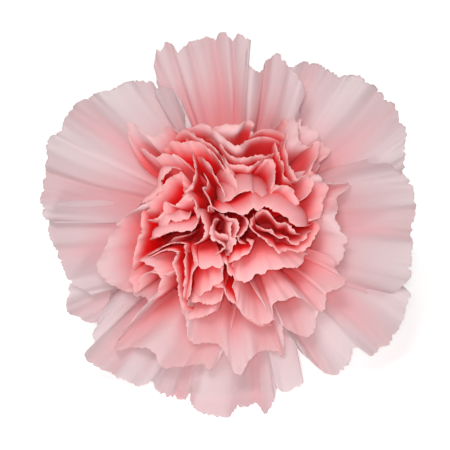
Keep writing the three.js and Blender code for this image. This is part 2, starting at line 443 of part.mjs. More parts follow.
// ---- a petal ----
// The blade rises from its claw as a cubic curve in each of its meridians: claw, wall, lip, margin.
function petalGrid(petal, index) {
  const [kind, own, line] = petal;
  const q = { ...kind, ...own };
  const cols = Math.max(3, Math.round(lineLength(line) / q.step));
  const { points, length } = alongLine(line, cols);
  const mean = new THREE.Vector2();
  line.forEach((value, i) => mean.setComponent(i % 2, mean.getComponent(i % 2) + (2 * value) / line.length));
  const root = q.root ? new THREE.Vector2(...q.root) : mean.clone().setLength(rootRadius);
  const aim = mean.clone().sub(root).normalize();
  const side = new THREE.Vector2(aim.y, -aim.x);
  const first = points[0];
  const final = points[cols];
  if ((final.x - first.x) * side.x + (final.y - first.y) * side.y < 0) side.negate();
  const phase = 6.28 * draw(index + 1);
  const grid = [];
  for (const v of q.stations) {
    grid.push(points.map((m, i) => {
      const u = (m.s / length) * 2 - 1;
      const atEnd = smooth(0.72, 1, Math.abs(u));
      const top = dome(Math.hypot(m.x, m.y)) + q.rise + (q.lean ?? 0) * u - q.fall * atEnd;
      const claw = root.clone().addScaledVector(side, clawHalf * u);
      const reach = Math.hypot(m.x - claw.x, m.y - claw.y);
      const e = new THREE.Vector2((m.x - claw.x) / reach, (m.y - claw.y) / reach);
      const rolled = q.flare * (1 - 0.8 * smooth(0.5, 1, Math.abs(u)));
      const flare = q.flare > 0 ? Math.min(q.flare, 0.85 * reach) : rolled;
      const knots = [
        [claw.x, claw.y, rootHeight],
        [m.x - e.x * flare, m.y - e.y * flare, q.foot],
        [m.x - e.x * flare * 0.55, m.y - e.y * flare * 0.55, top + q.arch],
        [m.x, m.y, top],
      ];
      const w = [(1 - v) ** 3, 3 * v * (1 - v) ** 2, 3 * v * v * (1 - v), v ** 3];
      const d = [3 * (1 - v) ** 2, 6 * v * (1 - v), 3 * v * v];
      const at = [0, 1, 2].map((k) => knots.reduce((sum, p, n) => sum + w[n] * p[k], 0));
      const run = [0, 1, 2].map((k) => d.reduce((sum, g, n) => sum + g * (knots[n + 1][k] - knots[n][k]), 0));
      // waves across the blade that grow towards the margin
      const out = run[0] * e.x + run[1] * e.y;
      const len = Math.hypot(out, run[2]) + 1e-9;
      const wave = (mm, turn) => Math.sin((6.283 * m.s) / mm + turn * phase);
      const push = q.frill * (q.broad
        ? v ** 1.2 * 1.3 * wave(19, 1) + v ** 9 * 0.5 * wave(5.1, 2)
        : v ** 2 * (0.5 * wave(9.5, 1) + 0.4 * wave(5.1, 2)) + v ** 5 * 0.6 * wave(3.3, 2));
      const p = new THREE.Vector3(...at);
      p.x -= (push * run[2] * e.x) / len;
      p.y -= (push * run[2] * e.y) / len;
      p.z += (push * out) / len;
      const swing = Math.sin(Math.PI * v) * (q.bulge * u + q.sway * (2 * draw(index * 5.3 + 2) - 1));
      p.x += swing * side.x;
      p.y += swing * side.y;
      // every second margin point is drawn back: the cut edge
      if (v === 1 && i % 2 === 1) {
        const back = 0.5 + 0.5 * draw(index * 7.7 + i);
        const full = Math.hypot(...run) + 1e-9;
        p.addScaledVector(new THREE.Vector3(...run), -back / full);
      }
      return restOnSurface(p);
    }));
  }
  return grid.map((row) => row.map(place));
}

// ---- bloom ----
// The core stands in the calyx as the bundle of claws and fills the head below its petals.
const neck = calyxRadius - calyxWall - seat - 0.1;
const plug = [[0, calyxMouth - 14], [3.6, calyxMouth - 14], [neck - 0.4, calyxMouth - 4], [neck, calyxMouth]];
const throat = [[neck, calyxMouth + toothLength + seat], [7.4, 0.9]];
const crown = [[17, 2.6], [21, 4.8], [17, 9], [9.5, 13.8], [0, 15.6]];
const core = turned([...plug, ...throat, ...crown], 12);
const cells = petals.flatMap((petal, i) => bladeCells(petalGrid(petal, i), bladeThick));
const bloom = outerSkin(Manifold.union([core, ...cells]).simplify(0.1));

// ---- calyx: a tube with five teeth round its mouth ----
const calyxFoot = calyxMouth - calyxLength;
function calyxSolid() {
  const bore = calyxRadius - calyxWall;
  const outer = [[2.6, 0], [3.9, 0.8], [4.7, 5], [5.4, 14], [6.3, 22], [calyxRadius, calyxLength]];
  const inner = [[bore, calyxLength], [bore - 0.5, 22], [bore - 1.4, 12], [3.4, 9]];
  const profile = [[0, 0], ...outer, ...inner, [0, 9]].map(([r, z]) => [r, z + calyxFoot]);
  // the rim's two rings rise into teeth
  return turned(profile, 30, (p, k) => {
    if (k !== outer.length && k !== outer.length + 1) return;
    const turn = ((Math.atan2(p.y, p.x) / (2 * Math.PI) + 1) * calyxTeeth) % 1;
    const rise = toothLength * Math.pow(1 - Math.abs(turn * 2 - 1), 1.2);
    const grow = 1 + (0.06 * rise) / toothLength;
    p.set(p.x * grow, p.y * grow, p.z + rise);
  });
}
const calyx = calyxSolid();

// ---- bracts: two crossed pairs of short pointed scales round the foot of the calyx ----
function bractGrid(turnDegrees) {
  const rows = 4;
  const cols = 6;
  const grid = [];
  for (let j = 0; j <= rows; j++) {
    const v = j / rows;
    const half = (1.25 - 0.35 * v) * Math.sqrt(1 - v ** 2.4) + 0.02;
    const line = [];
    for (let i = 0; i <= cols; i++) {
      const a = turnDegrees * rad + half * ((i / cols) * 2 - 1);
      const z = calyxFoot - 0.6 + v * bractLength;
      const r = 4.8 + 0.6 * smooth(0, 0.5, v) + 0.72 * v * v;
      line.push(place(new THREE.Vector3(r * Math.cos(a), r * Math.sin(a), z)));
    }
    grid.push(line);
  }
  return grid;
}
const bractRing = turned([
  [0, calyxFoot - 2.2], [2.7, calyxFoot - 2.2], [4.6, calyxFoot - 0.9], [5.3, calyxFoot + 0.7],
  [4.3, calyxFoot + 0.7], [3.6, calyxFoot - seat], [0, calyxFoot - seat],
], 12);
const scales = [0, 90, 180, 270].map((a) => blade(bractGrid(a), 0.7));
const bracts = outerSkin(Manifold.union([bractRing, ...scales]));

// ---- stem and leaves ----
const stemTop = place(new THREE.Vector3(0, 0, calyxFoot - 2.2 - seat));
const stemLine = new THREE.CatmullRomCurve3([
  stemTop,
  stemTop.clone().addScaledVector(axisOut, -9),
  new THREE.Vector3(-0.8, 52, 4.6),
  new THREE.Vector3(-1.8, 74, 3.6),
  new THREE.Vector3(-3.1, 96, stemRadius - 0.1),
  new THREE.Vector3(-4, 111, stemRadius * 0.94 - stemFlat),
]);
const nodeAt = 0.58; // where along the stem the leaves leave it

// A round bar along the line that thins a little towards its cut end and swells at the node.
function stemSolid() {
  const steps = 26;
  const round = new THREE.Shape().absarc(0, 0, stemRadius, 0, 2 * Math.PI);
  const geometry = new THREE.ExtrudeGeometry(round, { steps, curveSegments: 6, extrudePath: stemLine });
  const position = geometry.getAttribute("position");
  const middles = stemLine.getSpacedPoints(steps);
  const p = new THREE.Vector3();
  for (let i = 0; i < position.count; i++) {
    p.fromBufferAttribute(position, i);
    const distances = middles.map((m) => m.distanceTo(p));
    const near = distances.indexOf(Math.min(...distances));
    const t = near / steps;
    const scale = 1 - 0.06 * t + (nodeSwelling / stemRadius) * Math.exp(-(((t - nodeAt) / 0.03) ** 2));
    p.sub(middles[near]).multiplyScalar(scale).add(middles[near]);
    position.setXYZ(i, p.x, p.y, Math.max(p.z, 0));
  }
  return solidFrom(geometry);
}
const stem = stemSolid();

// A narrow channelled leaf that leaves the node forwards and curves away from the stem.
function leafSolid(sign) {
  const rows = 12;
  const cols = 4;
  const start = stemLine.getPointAt(nodeAt);
  const grid = [];
  const way = new THREE.CatmullRomCurve3([
    start.clone().add(new THREE.Vector3(sign * (stemRadius + nodeSwelling + seat + 1.2), 0, 0.8)),
    start.clone().add(new THREE.Vector3(sign * 6.6, 9, 3.4)),
    start.clone().add(new THREE.Vector3(sign * 11.5, 20, 4.2)),
    start.clone().add(new THREE.Vector3(sign * 17.5, 31, 0.6)),
  ]);
  for (let j = 0; j <= rows; j++) {
    const t = j / rows;
    const at = way.getPointAt(t);
    const along = way.getTangentAt(t);
    const across = new THREE.Vector3().crossVectors(along, new THREE.Vector3(0, 0, 1)).normalize();
    const half = leafHalf * (0.55 + 0.45 * smooth(0, 0.3, t)) * Math.pow(1 - t ** 2.2, 0.8) + 0.12;
    const line = [];
    for (let i = 0; i <= cols; i++) {
      const c = (i / cols) * 2 - 1;
      const channel = new THREE.Vector3(0, 0, 0.35 * half * c * c);
      line.push(at.clone().addScaledVector(across, half * c).add(channel));
    }
    grid.push(line);
  }
  return blade(grid, 0.7);
}

// ---- the part ----
function meshOf(name, made, color, roughness) {
  const m = made.getMesh();
  const points = new Float32Array(m.numVert * 3);
  for (let i = 0; i < m.numVert; i++) {
    points.set(m.vertProperties.subarray(i * m.numProp, i * m.numProp + 3), i * 3);
  }
  const geometry = new THREE.BufferGeometry()
    .setAttribute("position", new THREE.BufferAttribute(points, 3))
    .setIndex(new THREE.BufferAttribute(m.triVerts, 1));
  geometry.computeVertexNormals();
  const mesh = new THREE.Mesh(geometry, new THREE.MeshStandardMaterial({ color, roughness, metalness: 0 }));
  mesh.name = name;
  return mesh;
}

const carnation = new THREE.Group();
carnation.name = "cut_carnation";
carnation.position.set(...baseCentre.map((c) => -c), 0);
carnation.add(
  meshOf("bloom", bloom, 0xf0b4b8, 0.6),
  meshOf("calyx", calyx, 0x8ea377, 0.6),
  meshOf("bracts", bracts, 0x9aac80, 0.65),
  meshOf("stem", stem, 0x8ba47c, 0.55),
  meshOf("leaf_left", leafSolid(-1), 0x8fa78c, 0.6),
  meshOf("leaf_right", leafSolid(1), 0x8fa78c, 0.6),
);
export default carnation;
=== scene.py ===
# A cut carnation lying on a pale surface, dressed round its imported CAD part.
import math
import bpy
import numpy as np
from mathutils import Matrix, Vector


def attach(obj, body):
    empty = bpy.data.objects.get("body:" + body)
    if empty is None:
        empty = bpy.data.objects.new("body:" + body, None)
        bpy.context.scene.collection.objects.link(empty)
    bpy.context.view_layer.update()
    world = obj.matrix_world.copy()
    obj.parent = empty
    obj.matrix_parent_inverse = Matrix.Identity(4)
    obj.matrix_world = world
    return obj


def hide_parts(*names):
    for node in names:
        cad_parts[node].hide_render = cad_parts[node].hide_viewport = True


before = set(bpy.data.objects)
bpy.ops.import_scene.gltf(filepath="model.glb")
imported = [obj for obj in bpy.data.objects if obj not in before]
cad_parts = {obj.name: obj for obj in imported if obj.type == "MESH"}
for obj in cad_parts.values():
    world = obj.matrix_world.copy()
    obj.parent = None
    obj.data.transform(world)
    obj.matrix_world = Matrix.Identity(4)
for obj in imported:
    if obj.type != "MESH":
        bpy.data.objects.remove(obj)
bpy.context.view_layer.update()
mm = 0.001
print("frame loaded:", sorted(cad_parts))

# where the bloom stands in the part: its own frame has x right, y up and z out of its face, in mm
bloomPlace = {
    "tilt": math.radians(30),  # how far the face looks up
    "origin": (1.5, -41.56, 28.6),
    "restGap": 0.2,  # middle of a petal pressed on the surface, above it
    "restSoftness": 0.6,  # how gently it bends to lie there
}
axisUp = np.array([0, math.sin(bloomPlace["tilt"]), math.cos(bloomPlace["tilt"])])
axisOut = np.array([0, -math.cos(bloomPlace["tilt"]), math.sin(bloomPlace["tilt"])])
levelUp = np.array([0, 0, 1.0])


# from the bloom's frame in mm to the part's in metres
def toPart(points):
    p = np.asarray(points, float)
    world = p[..., 1:2] * axisUp + p[..., 2:3] * axisOut
    world[..., 0] += p[..., 0]
    return (world + np.array(bloomPlace["origin"])) * mm


# a petal that would sink into the surface is bent forwards until it lies on it
def restOnSurface(p):
    floorAt = (bloomPlace["restGap"] - bloomPlace["origin"][2] - p[..., 1] * axisUp[2]) / axisOut[2]
    d = p[..., 2] - floorAt
    p[..., 2] = floorAt + 0.5 * (d + np.sqrt(d * d + bloomPlace["restSoftness"]))
    return p


# a draw from 0 to 1 that is the same on every run: the far digits of a sine
def draw(seed):
    x = math.sin(seed * 12.9898 + 4.1414) * 43758.5453
    return x - math.floor(x)


def smooth(a, b, x):
    t = np.clip((x - a) / (b - a), 0, 1)
    return t * t * (3 - 2 * t)


# a smooth curve through a line's points, at distances s along its chords
def alongLine(line, s):
    seg = np.linalg.norm(line[1:] - line[:-1], axis=1)
    at = np.concatenate([[0], np.cumsum(seg)])
    i = np.clip(np.searchsorted(at, s, side="right") - 1, 0, len(seg) - 1)
    t = ((s - at[i]) / seg[i])[:, None]
    ends = np.vstack([2 * line[0] - line[1], line, 2 * line[-1] - line[-2]])
    a, b, c, d = ends[i], ends[i + 1], ends[i + 2], ends[i + 3]
    square, cube = 2 * a - 5 * b + 4 * c - d, 3 * b - a - 3 * c + d
    return 0.5 * (2 * b + (c - a) * t + square * t ** 2 + cube * t ** 3)


def lineLength(line):
    return np.linalg.norm(line[1:] - line[:-1], axis=1).sum()


# evenly spaced points, their tangents and distances along such a curve in space
def spaceLine(knots, count):
    knots = np.array(knots, float)
    fine = alongLine(knots, np.linspace(0, lineLength(knots), 1500))
    run = np.concatenate([[0], np.cumsum(np.linalg.norm(np.diff(fine, axis=0), axis=1))])
    at = np.linspace(0, run[-1], count + 1)
    points = np.stack([np.interp(at, run, fine[:, k]) for k in range(3)], -1)
    tangents = np.gradient(points, axis=0)
    return points, tangents / np.linalg.norm(tangents, axis=1, keepdims=True), at


# level directions across a line's tangents
def levelAcross(tangents):
    across = np.cross(tangents, levelUp)
    return across / np.linalg.norm(across, axis=1, keepdims=True)


# a grid of points thickened to a closed blade: points, one side after the other, and faces
def closedBlade(grid, thick):
    rows, cols = grid.shape[:2]
    normal = np.cross(np.gradient(grid, axis=1), np.gradient(grid, axis=0))
    normal /= np.maximum(np.linalg.norm(normal, axis=-1, keepdims=True), 1e-12)
    off = normal * (thick / 2)[..., None]
    points = np.concatenate([(grid + off).reshape(-1, 3), (grid - off).reshape(-1, 3)])
    ids = np.arange(rows * cols).reshape(rows, cols)
    under = rows * cols
    quad = np.stack([ids[:-1, :-1], ids[:-1, 1:], ids[1:, 1:], ids[1:, :-1]], -1).reshape(-1, 4)
    ring = np.concatenate([ids[0, :-1], ids[:-1, -1], ids[-1, :0:-1], ids[:0:-1, 0]])
    after = np.roll(ring, -1)
    rim = np.stack([ring, ring + under, after + under, after], -1)
    return points, np.concatenate([quad, quad[:, ::-1] + under, rim])


# rings of points about the bloom's axis, from the radius and height at each angle
def roundAxis(r, z, angle):
    return np.stack([r * np.cos(angle), r * np.sin(angle), z], -1)


def fullCircle(sides):
    return np.linspace(0, 2 * math.pi, sides, endpoint=False)


# faces between rings of points that close on themselves
def ringFaces(rings, sides):
    ids = np.arange(rings * sides).reshape(rings, sides)
    after = np.roll(ids, -1, 1)
    return np.stack([ids[:-1], after[:-1], after[1:], ids[1:]], -1).reshape(-1, 4)


# several meshes as one, each given as points, faces and layers
def joined(parts):
    start = np.cumsum([0] + [len(part[0]) for part in parts])
    faces = np.concatenate([part[1] + first for part, first in zip(parts, start)])
    layers = {key: np.concatenate([part[2][key] for part in parts]) for key in parts[0][2]}
    return np.concatenate([part[0] for part in parts]), faces, layers


# a mesh object from points and faces; a layer holds a number or a vector for each of its points
def meshPiece(name, points, faces, layers=None):
    mesh = bpy.data.meshes.new(name)
    mesh.from_pydata(np.asarray(points).tolist(), [], np.asarray(faces).tolist())
    for key, values in (layers or {}).items():
        kind, field = ("FLOAT_VECTOR", "vector") if values.ndim == 2 else ("FLOAT", "value")
        layer = mesh.attributes.new(key, kind, "POINT")
        layer.data.foreach_set(field, values.astype(np.float32).ravel())
    mesh.polygons.foreach_set("use_smooth", [True] * len(mesh.polygons))
    mesh.update()
    piece = bpy.data.objects.new(name, mesh)
    bpy.context.scene.collection.objects.link(piece)
    return piece


# a piece takes its finish, rides on the part and stands for its CAD node
def dress(piece, material, node):
    piece.data.materials.append(material)
    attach(piece, "root")
    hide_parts(node)
    print("made", piece.name, len(piece.data.polygons), "faces")


# sRGB hex to linear
def colour(hexValue):
    parts = [int(hexValue[i:i + 2], 16) / 255 for i in (1, 3, 5)]
    return (*[c / 12.92 if c <= 0.04045 else ((c + 0.055) / 1.055) ** 2.4 for c in parts], 1)


# adds a node with its settings, its links and a ramp's stops; a link from a node takes its first output
def addNode(tree, kind, settings=None, links=None, stops=None):
    node = tree.nodes.new("ShaderNode" + kind)
    for key, value in (settings or {}).items():
        if isinstance(key, str) and hasattr(node, key):
            setattr(node, key, value)
        else:
            node.inputs[key].default_value = value
    for key, source in (links or {}).items():
        tree.links.new(getattr(source, "outputs", [source])[0], node.inputs[key])
    if stops:
        ramp = node.color_ramp.elements
        while len(ramp) < len(stops):
            ramp.new(0.5)
        for element, (at, hexValue) in zip(ramp, stops):
            element.position = at
            element.color = colour(hexValue)
    return node


def newMaterial(name):
    material = bpy.data.materials.new(name)
    material.use_nodes = True
    material.node_tree.nodes.clear()
    return material, material.node_tree


# carnation petal: a thin, moist blade with a satin, finely veined skin that lets light through, so that
# folds glow red where light has passed from petal to petal, and margins pale to a greyish pink; deep in the
# heart the red of its gaps is painted shade as well
petalSkin = {
    "through": 0.6,  # share of light that passes to the far side
    "roughness": 0.56,
    "specular": 0.18,
    "sheen": 0.04,
    "vein": (1.2, 8.3),  # mm across and along, drawn coarser than the real 0.5 so that it shows
    "veinDepth": 0.08,  # mm
    "streak": (2.94, 20),  # mm across and along a soft streak of colour
    "blotch": 0.035,  # how far a streak shifts the colour along its ramp
    "outerRim": "#f7e2e2",  # the pale edge of the broad petals
    "heartRim": "#f9d3d1",  # and of the folded ones, pinker because they stand in red light
    "creaseShade": 0.2,  # how much pinker the hollows of the pleats are painted, as shade
    "ridgeHighlight": (0.55, "#f6edee"),  # how much whiter their ridges are painted, as highlight
    # outer petals, from claw to margin
    "outer": [(0.1, "#f57e7c"), (0.34, "#f3adaf"), (0.58, "#eec9cd"), (0.78, "#ead6d8"), (1.0, "#e7d9db")],
    # petals of the heart, from deep in the head to its surface: the deep reds are painted shade of its gaps
    "inner": [(0.1, "#fb1a1c"), (0.34, "#fb3034"), (0.5, "#fb5659"), (0.66, "#fb9395"), (0.82, "#fbb9bc"),
              (1.0, "#fbcdd0")],
}


def makePetalSkin():
    s = petalSkin
    material, tree = newMaterial("petalSkin")
    layer = {name: addNode(tree, "Attribute", {"attribute_name": name}).outputs
             for name in ("tone", "reach", "surface", "margin", "crease", "ridge", "blade")}
    # soft streaks that fan along the blade
    streakAt = addNode(tree, "VectorMath",
                       {"operation": "MULTIPLY", 1: (1 / s["streak"][0], 1 / s["streak"][1], 1)},
                       {0: layer["blade"]["Vector"]})
    streak = addNode(tree, "TexNoise", {"Scale": 1.0, "Detail": 4.0, "Roughness": 0.55},
                     {"Vector": streakAt})
    shift = addNode(tree, "MapRange",
                    {"From Min": 0.3, "From Max": 0.7, "To Min": -s["blotch"], "To Max": s["blotch"]},
                    {"Value": streak})
    # the pleats' hollows are moved to pinker colours: painted shade
    creaseShaded = addNode(tree, "Math", {"operation": "MULTIPLY_ADD", 1: -s["creaseShade"]},
                      {0: layer["crease"]["Fac"], 2: layer["reach"]["Fac"]})
    reachMoved = addNode(tree, "Math", {"operation": "ADD"}, {0: creaseShaded, 1: shift})
    surfaceMoved = addNode(tree, "Math", {"operation": "ADD"}, {0: layer["surface"]["Fac"], 1: shift})
    outer = addNode(tree, "ValToRGB", None, {"Fac": reachMoved}, s["outer"])
    inner = addNode(tree, "ValToRGB", None, {"Fac": surfaceMoved}, s["inner"])
    skin = addNode(tree, "Mix", {"data_type": "RGBA"}, {"Factor": layer["tone"]["Fac"], 6: inner, 7: outer})
    # the pleats' ridges are mixed towards white: painted highlight
    ridgeHighlight = addNode(tree, "Math", {"operation": "MULTIPLY", 1: s["ridgeHighlight"][0]}, {0: layer["ridge"]["Fac"]})
    pale = addNode(tree, "Mix", {"data_type": "RGBA", 7: colour(s["ridgeHighlight"][1])},
                   {"Factor": ridgeHighlight, 6: skin.outputs[2]})
    edge = addNode(tree, "Mix", {"data_type": "RGBA", 6: colour(s["heartRim"]), 7: colour(s["outerRim"])},
                   {"Factor": layer["tone"]["Fac"]})
    rimmed = addNode(tree, "Mix", {"data_type": "RGBA"},
                     {"Factor": layer["margin"]["Fac"], 6: pale.outputs[2], 7: edge.outputs[2]})
    veinAt = addNode(tree, "VectorMath",
                     {"operation": "MULTIPLY", 1: (1 / s["vein"][0], 1 / s["vein"][1], 1)},
                     {0: layer["blade"]["Vector"]})
    vein = addNode(tree, "TexNoise", {"Scale": 1.0, "Detail": 3.0, "Roughness": 0.6}, {"Vector": veinAt})
    relief = addNode(tree, "Bump", {"Strength": 0.6, "Distance": s["veinDepth"] * mm}, {"Height": vein})
    front = addNode(tree, "BsdfPrincipled",
                    {"Roughness": s["roughness"], "Specular IOR Level": s["specular"], "IOR": 1.42,
                     "Sheen Weight": s["sheen"], "Sheen Roughness": 0.5},
                    {"Base Color": rimmed.outputs[2], "Normal": relief})
    through = addNode(tree, "BsdfTranslucent", None, {"Color": rimmed.outputs[2], "Normal": relief})
    both = addNode(tree, "MixShader", {0: s["through"]}, {1: front, 2: through})
    addNode(tree, "OutputMaterial", None, {"Surface": both})
    return material


# the imported bases of the petals: a dull dark red at the bottom of the heart's gaps, which is painted shade,
# and from behind, where they spread from the calyx, pale and streaked
packedBases = {
    # the dark reds of the top: painted shade at the bottom of the heart's gaps
    "dark": "#840c10", "light": "#ac161a",
    "underShade": "#dd8f8a", "under": "#efb9b2",
    "turnsToShade": (33, 37),  # mm up the profile, between the pale underside and the top painted dark as shade
    "streak": (1, 12.5),  # mm across and along
    "streakDepth": 0.2,  # mm
    "roughness": 0.55,
}


def makeBaseSkin():
    s = packedBases
    material, tree = newMaterial("packedBases")
    blade = addNode(tree, "Attribute", {"attribute_name": "blade"})
    streakAt = addNode(tree, "VectorMath",
                       {"operation": "MULTIPLY", 1: (1 / s["streak"][0], 1 / s["streak"][1], 1)},
                       {0: blade.outputs["Vector"]})
    streak = addNode(tree, "TexNoise", {"Scale": 1.0, "Detail": 3.0}, {"Vector": streakAt})
    top = addNode(tree, "ValToRGB", None, {"Fac": streak}, [(0.3, s["dark"]), (0.7, s["light"])])
    back = addNode(tree, "ValToRGB", None, {"Fac": streak}, [(0.3, s["underShade"]), (0.7, s["under"])])
    along = addNode(tree, "SeparateXYZ", None, {0: blade.outputs["Vector"]})
    over = addNode(tree, "MapRange", {"From Min": s["turnsToShade"][0], "From Max": s["turnsToShade"][1]},
                   {"Value": along.outputs["Y"]})
    bases = addNode(tree, "Mix", {"data_type": "RGBA"}, {"Factor": over, 6: back, 7: top})
    relief = addNode(tree, "Bump", {"Strength": 0.5, "Distance": s["streakDepth"] * mm}, {"Height": streak})
    skin = addNode(tree, "BsdfPrincipled", {"Roughness": s["roughness"], "Specular IOR Level": 0.1},
                   {"Base Color": bases.outputs[2], "Normal": relief})
    addNode(tree, "OutputMaterial", None, {"Surface": skin})
    return material


# the petals, in mm: rise, the margin's height over the dome; flare, how far the lip leans
# out over the wall, or rolls in; foot, the height of the wall's lower end; what is a petal's own, used
# before its kind's value; and its margin, as x, y pairs in the bloom's frame. root: where the claw leaves
# the head; lean: how much one end of the margin stands over the other; folds: x, y, height and half width
# of folds of its own; pale: how far the margin's colours reach down; depthShade: how fast a folded petal
# reddens with depth, painted shade of the gaps in the heart

# the guards, from the upper left round by the left and the bottom
guards = [
    (0.4, 27, 6, dict(arch=1.4, bulge=0.5, sway=0, fall=0.4, pale=0.12, lean=-1.6,
          folds=[(-39.9, 11.8, -1.6, 1.1), (-39.2, 15, -0.9, 1.6), (-38, 19.5, 0.8, 2),
                 (-33, 26.6, -0.9, 2), (-24, 30, -0.9, 1.8)]), [
     -10.4,21, -10.4,23.5, -10.8,25.2, -11.7,27, -12.9,28.5, -14.3,29.4, -15.6,29.6, -16.5,29, -17,28.2,
     -17.3,30.6, -21,31, -27,28.7, -31,27.7, -35,24.8, -36.6,20.3, -39.2,18.5, -40,12, -41,7, -40.4,3.2,
     -39.5,1.5, -38,1.2]),
    (-2.5, 26, 3.2, dict(pale=-0.08), [
     -36,8, -39.3,1, -38.3,-4, -36,-9, -34.4,-11.5, -30,-14]),
    (-4, 26, 2.8, dict(pale=0.05), [
     -31,-5, -34.3,-11, -35.6,-16.8, -34,-19, -30,-20, -25,-19]),
    (-1.5, 26, 3.8, dict(pale=0.05), [
     -26,-13, -29.7,-22, -29.6,-24.3, -31.6,-26.5, -30.3,-28.8, -26,-30.8, -21,-33, -18,-32.2, -12,-26]),
    (-3.2, 26, 3, dict(pale=0.02), [
     -20,-25, -17.5,-32.5, -15.5,-35, -12.5,-36, -10.5,-36.2, -9.6,-35, -9.2,-37, -6,-38.8, -1.5,-39.3,
     0.8,-38.2, 4.5,-37, 6,-38.8, 8,-37, 8.5,-34, 9,-27]),
    (-0.5, 22, 4.2, dict(fall=3), [
     7,-24, 8.3,-32, 9.6,-34.2, 14,-32.6, 13.6,-30, 12.6,-26, 12.2,-23]),
    (-2.2, 26, 3.4, dict(fall=2.5), [
     10.5,-20, 13.2,-25.2, 15.5,-27.5, 18.5,-30.3, 21,-31, 23.5,-29, 24.6,-26.3, 26,-25.2, 28.5,-26.8,
     30.2,-26.3, 32.3,-25, 34.5,-21.5, 36,-17, 36.7,-14, 35.5,-12.2, 32,-5]),
    (0, 26, 4.5, {}, [
     31,-15, 36.3,-11, 36.9,-6, 37.5,0, 38,4.5, 37,9, 35.2,11, 30,15]),
    (-2, 27, 3.4, {}, [
     31,2, 35.3,11, 35.7,17, 36,20.7, 34.5,23, 34.4,25.5, 32,27.5, 28,31.2, 25,32.2, 22,32.1, 19,34,
     15.5,35.1, 11.5,34, 5,27]),
]
# the crest, at the top
crests = [
    (3.4, 20, 6, dict(lean=1.6, pale=0.12, tone=0.85,
          folds=[(-13.2, 38.4, -0.9, 1.5), (-9.8, 38.8, -0.8, 1.3), (-7, 40, 0.6, 1.4),
                 (-4.4, 40.4, -0.9, 1.3), (-1.6, 40.5, 0.7, 1.3), (-0.4, 39.4, -1.2, 1.1),
                 (3.4, 33.6, 1.5, 1.5), (6.2, 34.6, -1.5, 1.8), (8.4, 36.2, 0.8, 1.2),
                 (10.7, 34, -0.9, 1.2), (13.6, 30.6, 0.8, 1.6)]), [
     -14.5,24, -15.6,28.5, -16.4,30.5, -16.7,32.5, -17,34.4, -16.6,36, -16.5,37.5, -15.6,37, -14.9,37.8,
     -14.4,39, -13.2,38.4, -12,37, -10.8,37.7, -9.8,38.8, -8.5,39.2, -6.3,40, -5,39.8, -4,40.6, -3,40.8,
     -1.8,40.8, -1.2,40.2, -0.4,39.4, 0.6,40.5, 1.6,40.1, 2.5,39.6, 3.2,38.9, 2.8,37.6, 2.3,36.2, 2.9,35,
     2.9,34, 3.6,33.1, 4.6,32.7, 5.6,33.1, 6.1,33.8, 6.2,34.6, 6.7,35.3, 7.6,35.9, 8.2,36.4, 9.2,36.2,
     9.8,35.5, 10.6,34.9, 11,33.6, 12,32.7, 12.7,32, 13.2,31.1, 13.8,30.3, 14.2,29.2, 14.5,28, 14,27,
     13.4,26.5, 13.4,25, 13.6,23, 13.4,20]),
]
# the collars, round the heart
collars = [
    # the first, on the left, is pinker down its blade: partly its own colour, partly painted shade near the
    # heart
    (0.5, 8, 6.5, dict(pale=-0.32), [
     -17,7, -20.5,3.8, -23,2.7, -25.5,0, -26.8,-3.5, -28.6,-7.5, -27.5,-10.5, -24,-13, -18,-15]),
    (0.5, 16, 8, dict(pale=-0.05), [
     -15,-12, -20,-17.5, -25.5,-25.2, -21,-25, -17.2,-25.5, -16,-28, -14,-29.6, -10,-29, -7,-28.6,
     -5,-29.6, -2,-25]),
    (1, 14, 9.5, dict(pale=-0.05), [
     -10.2,-17, -10.1,-22, -8.5,-24.2, -5,-24, -2.5,-25.3, -0.5,-29.5, 1.2,-30.7, 3,-27.5, 5,-26,
     8.5,-25.9, 10.2,-26.6, 10,-20]),
    (0.5, 12, 9.5, dict(pale=0.1), [
     5.5,-15, 7.8,-18.6, 9.6,-20.4, 12,-21.8, 14.3,-22.7, 16,-22.5, 16.8,-20.3, 17.2,-18.4, 18.3,-17.2]),
    (0.5, 8, 7, dict(pale=-0.05), [
     20.3,-10, 21.5,-8, 23.3,-2.8, 22,-0.5, 20.7,2, 21.6,4.5, 21.3,6.3, 24.2,8.7, 23,9.4, 19.5,9.2, 15,12]),
    (2.4, 6, 8, dict(depthShade=1.4, tone=0.3), [
     11.5,25, 12.7,21.5, 13,18.8, 13.6,17.8, 14.6,17.2, 15.6,17, 16.3,17.5, 16.6,18.2, 17.5,17.9, 17.9,17,
     17.6,15.8, 17.2,14.8, 16.5,13.7, 16,12.5, 16.4,11.5, 17,10.6]),
    (3, 3, 8, dict(depthShade=1.8, tone=0.15), [
     -5.5,20.5, -2.5,20.9, 0.5,20.8, 2.5,22.3, 4,21.6, 3.4,19.8, 6,20.6, 9.5,20.2, 10.5,18]),
    (2.2, 7, 8, dict(depthShade=1.4, tone=0.4), [
     -21.6,17.2, -22.2,18.6, -22.5,20, -22.5,21.4, -21.7,22, -19.5,20.4, -18.3,19.2, -16.8,19.1,
     -15.6,19.6, -14.9,20.4, -14.5,21.8, -12.9,20.9, -11.4,20, -10.5,19.2]),
    (2.5, 3, 8, dict(depthShade=1.8, tone=0.15), [
     -12,20, -9,21.2, -7,21.6, -5.3,20.9, -4,19.4, -2.2,18.2, -0.8,17, 0.2,16.6, 1.3,17, 2.3,18.2,
     3.5,18.6, 6,19, 8.6,18.4]),
    (1, 8, 6.5, dict(tone=0.4), [
     13,24, 13.9,21.7, 14.8,21.2, 15.6,20.9, 16.4,20.3, 17.2,19.6, 17.8,18.6, 18.8,17.2, 19.8,16.5,
     19.6,15.4, 18.4,15.2, 17.8,14.4, 17.6,12.5]),
]
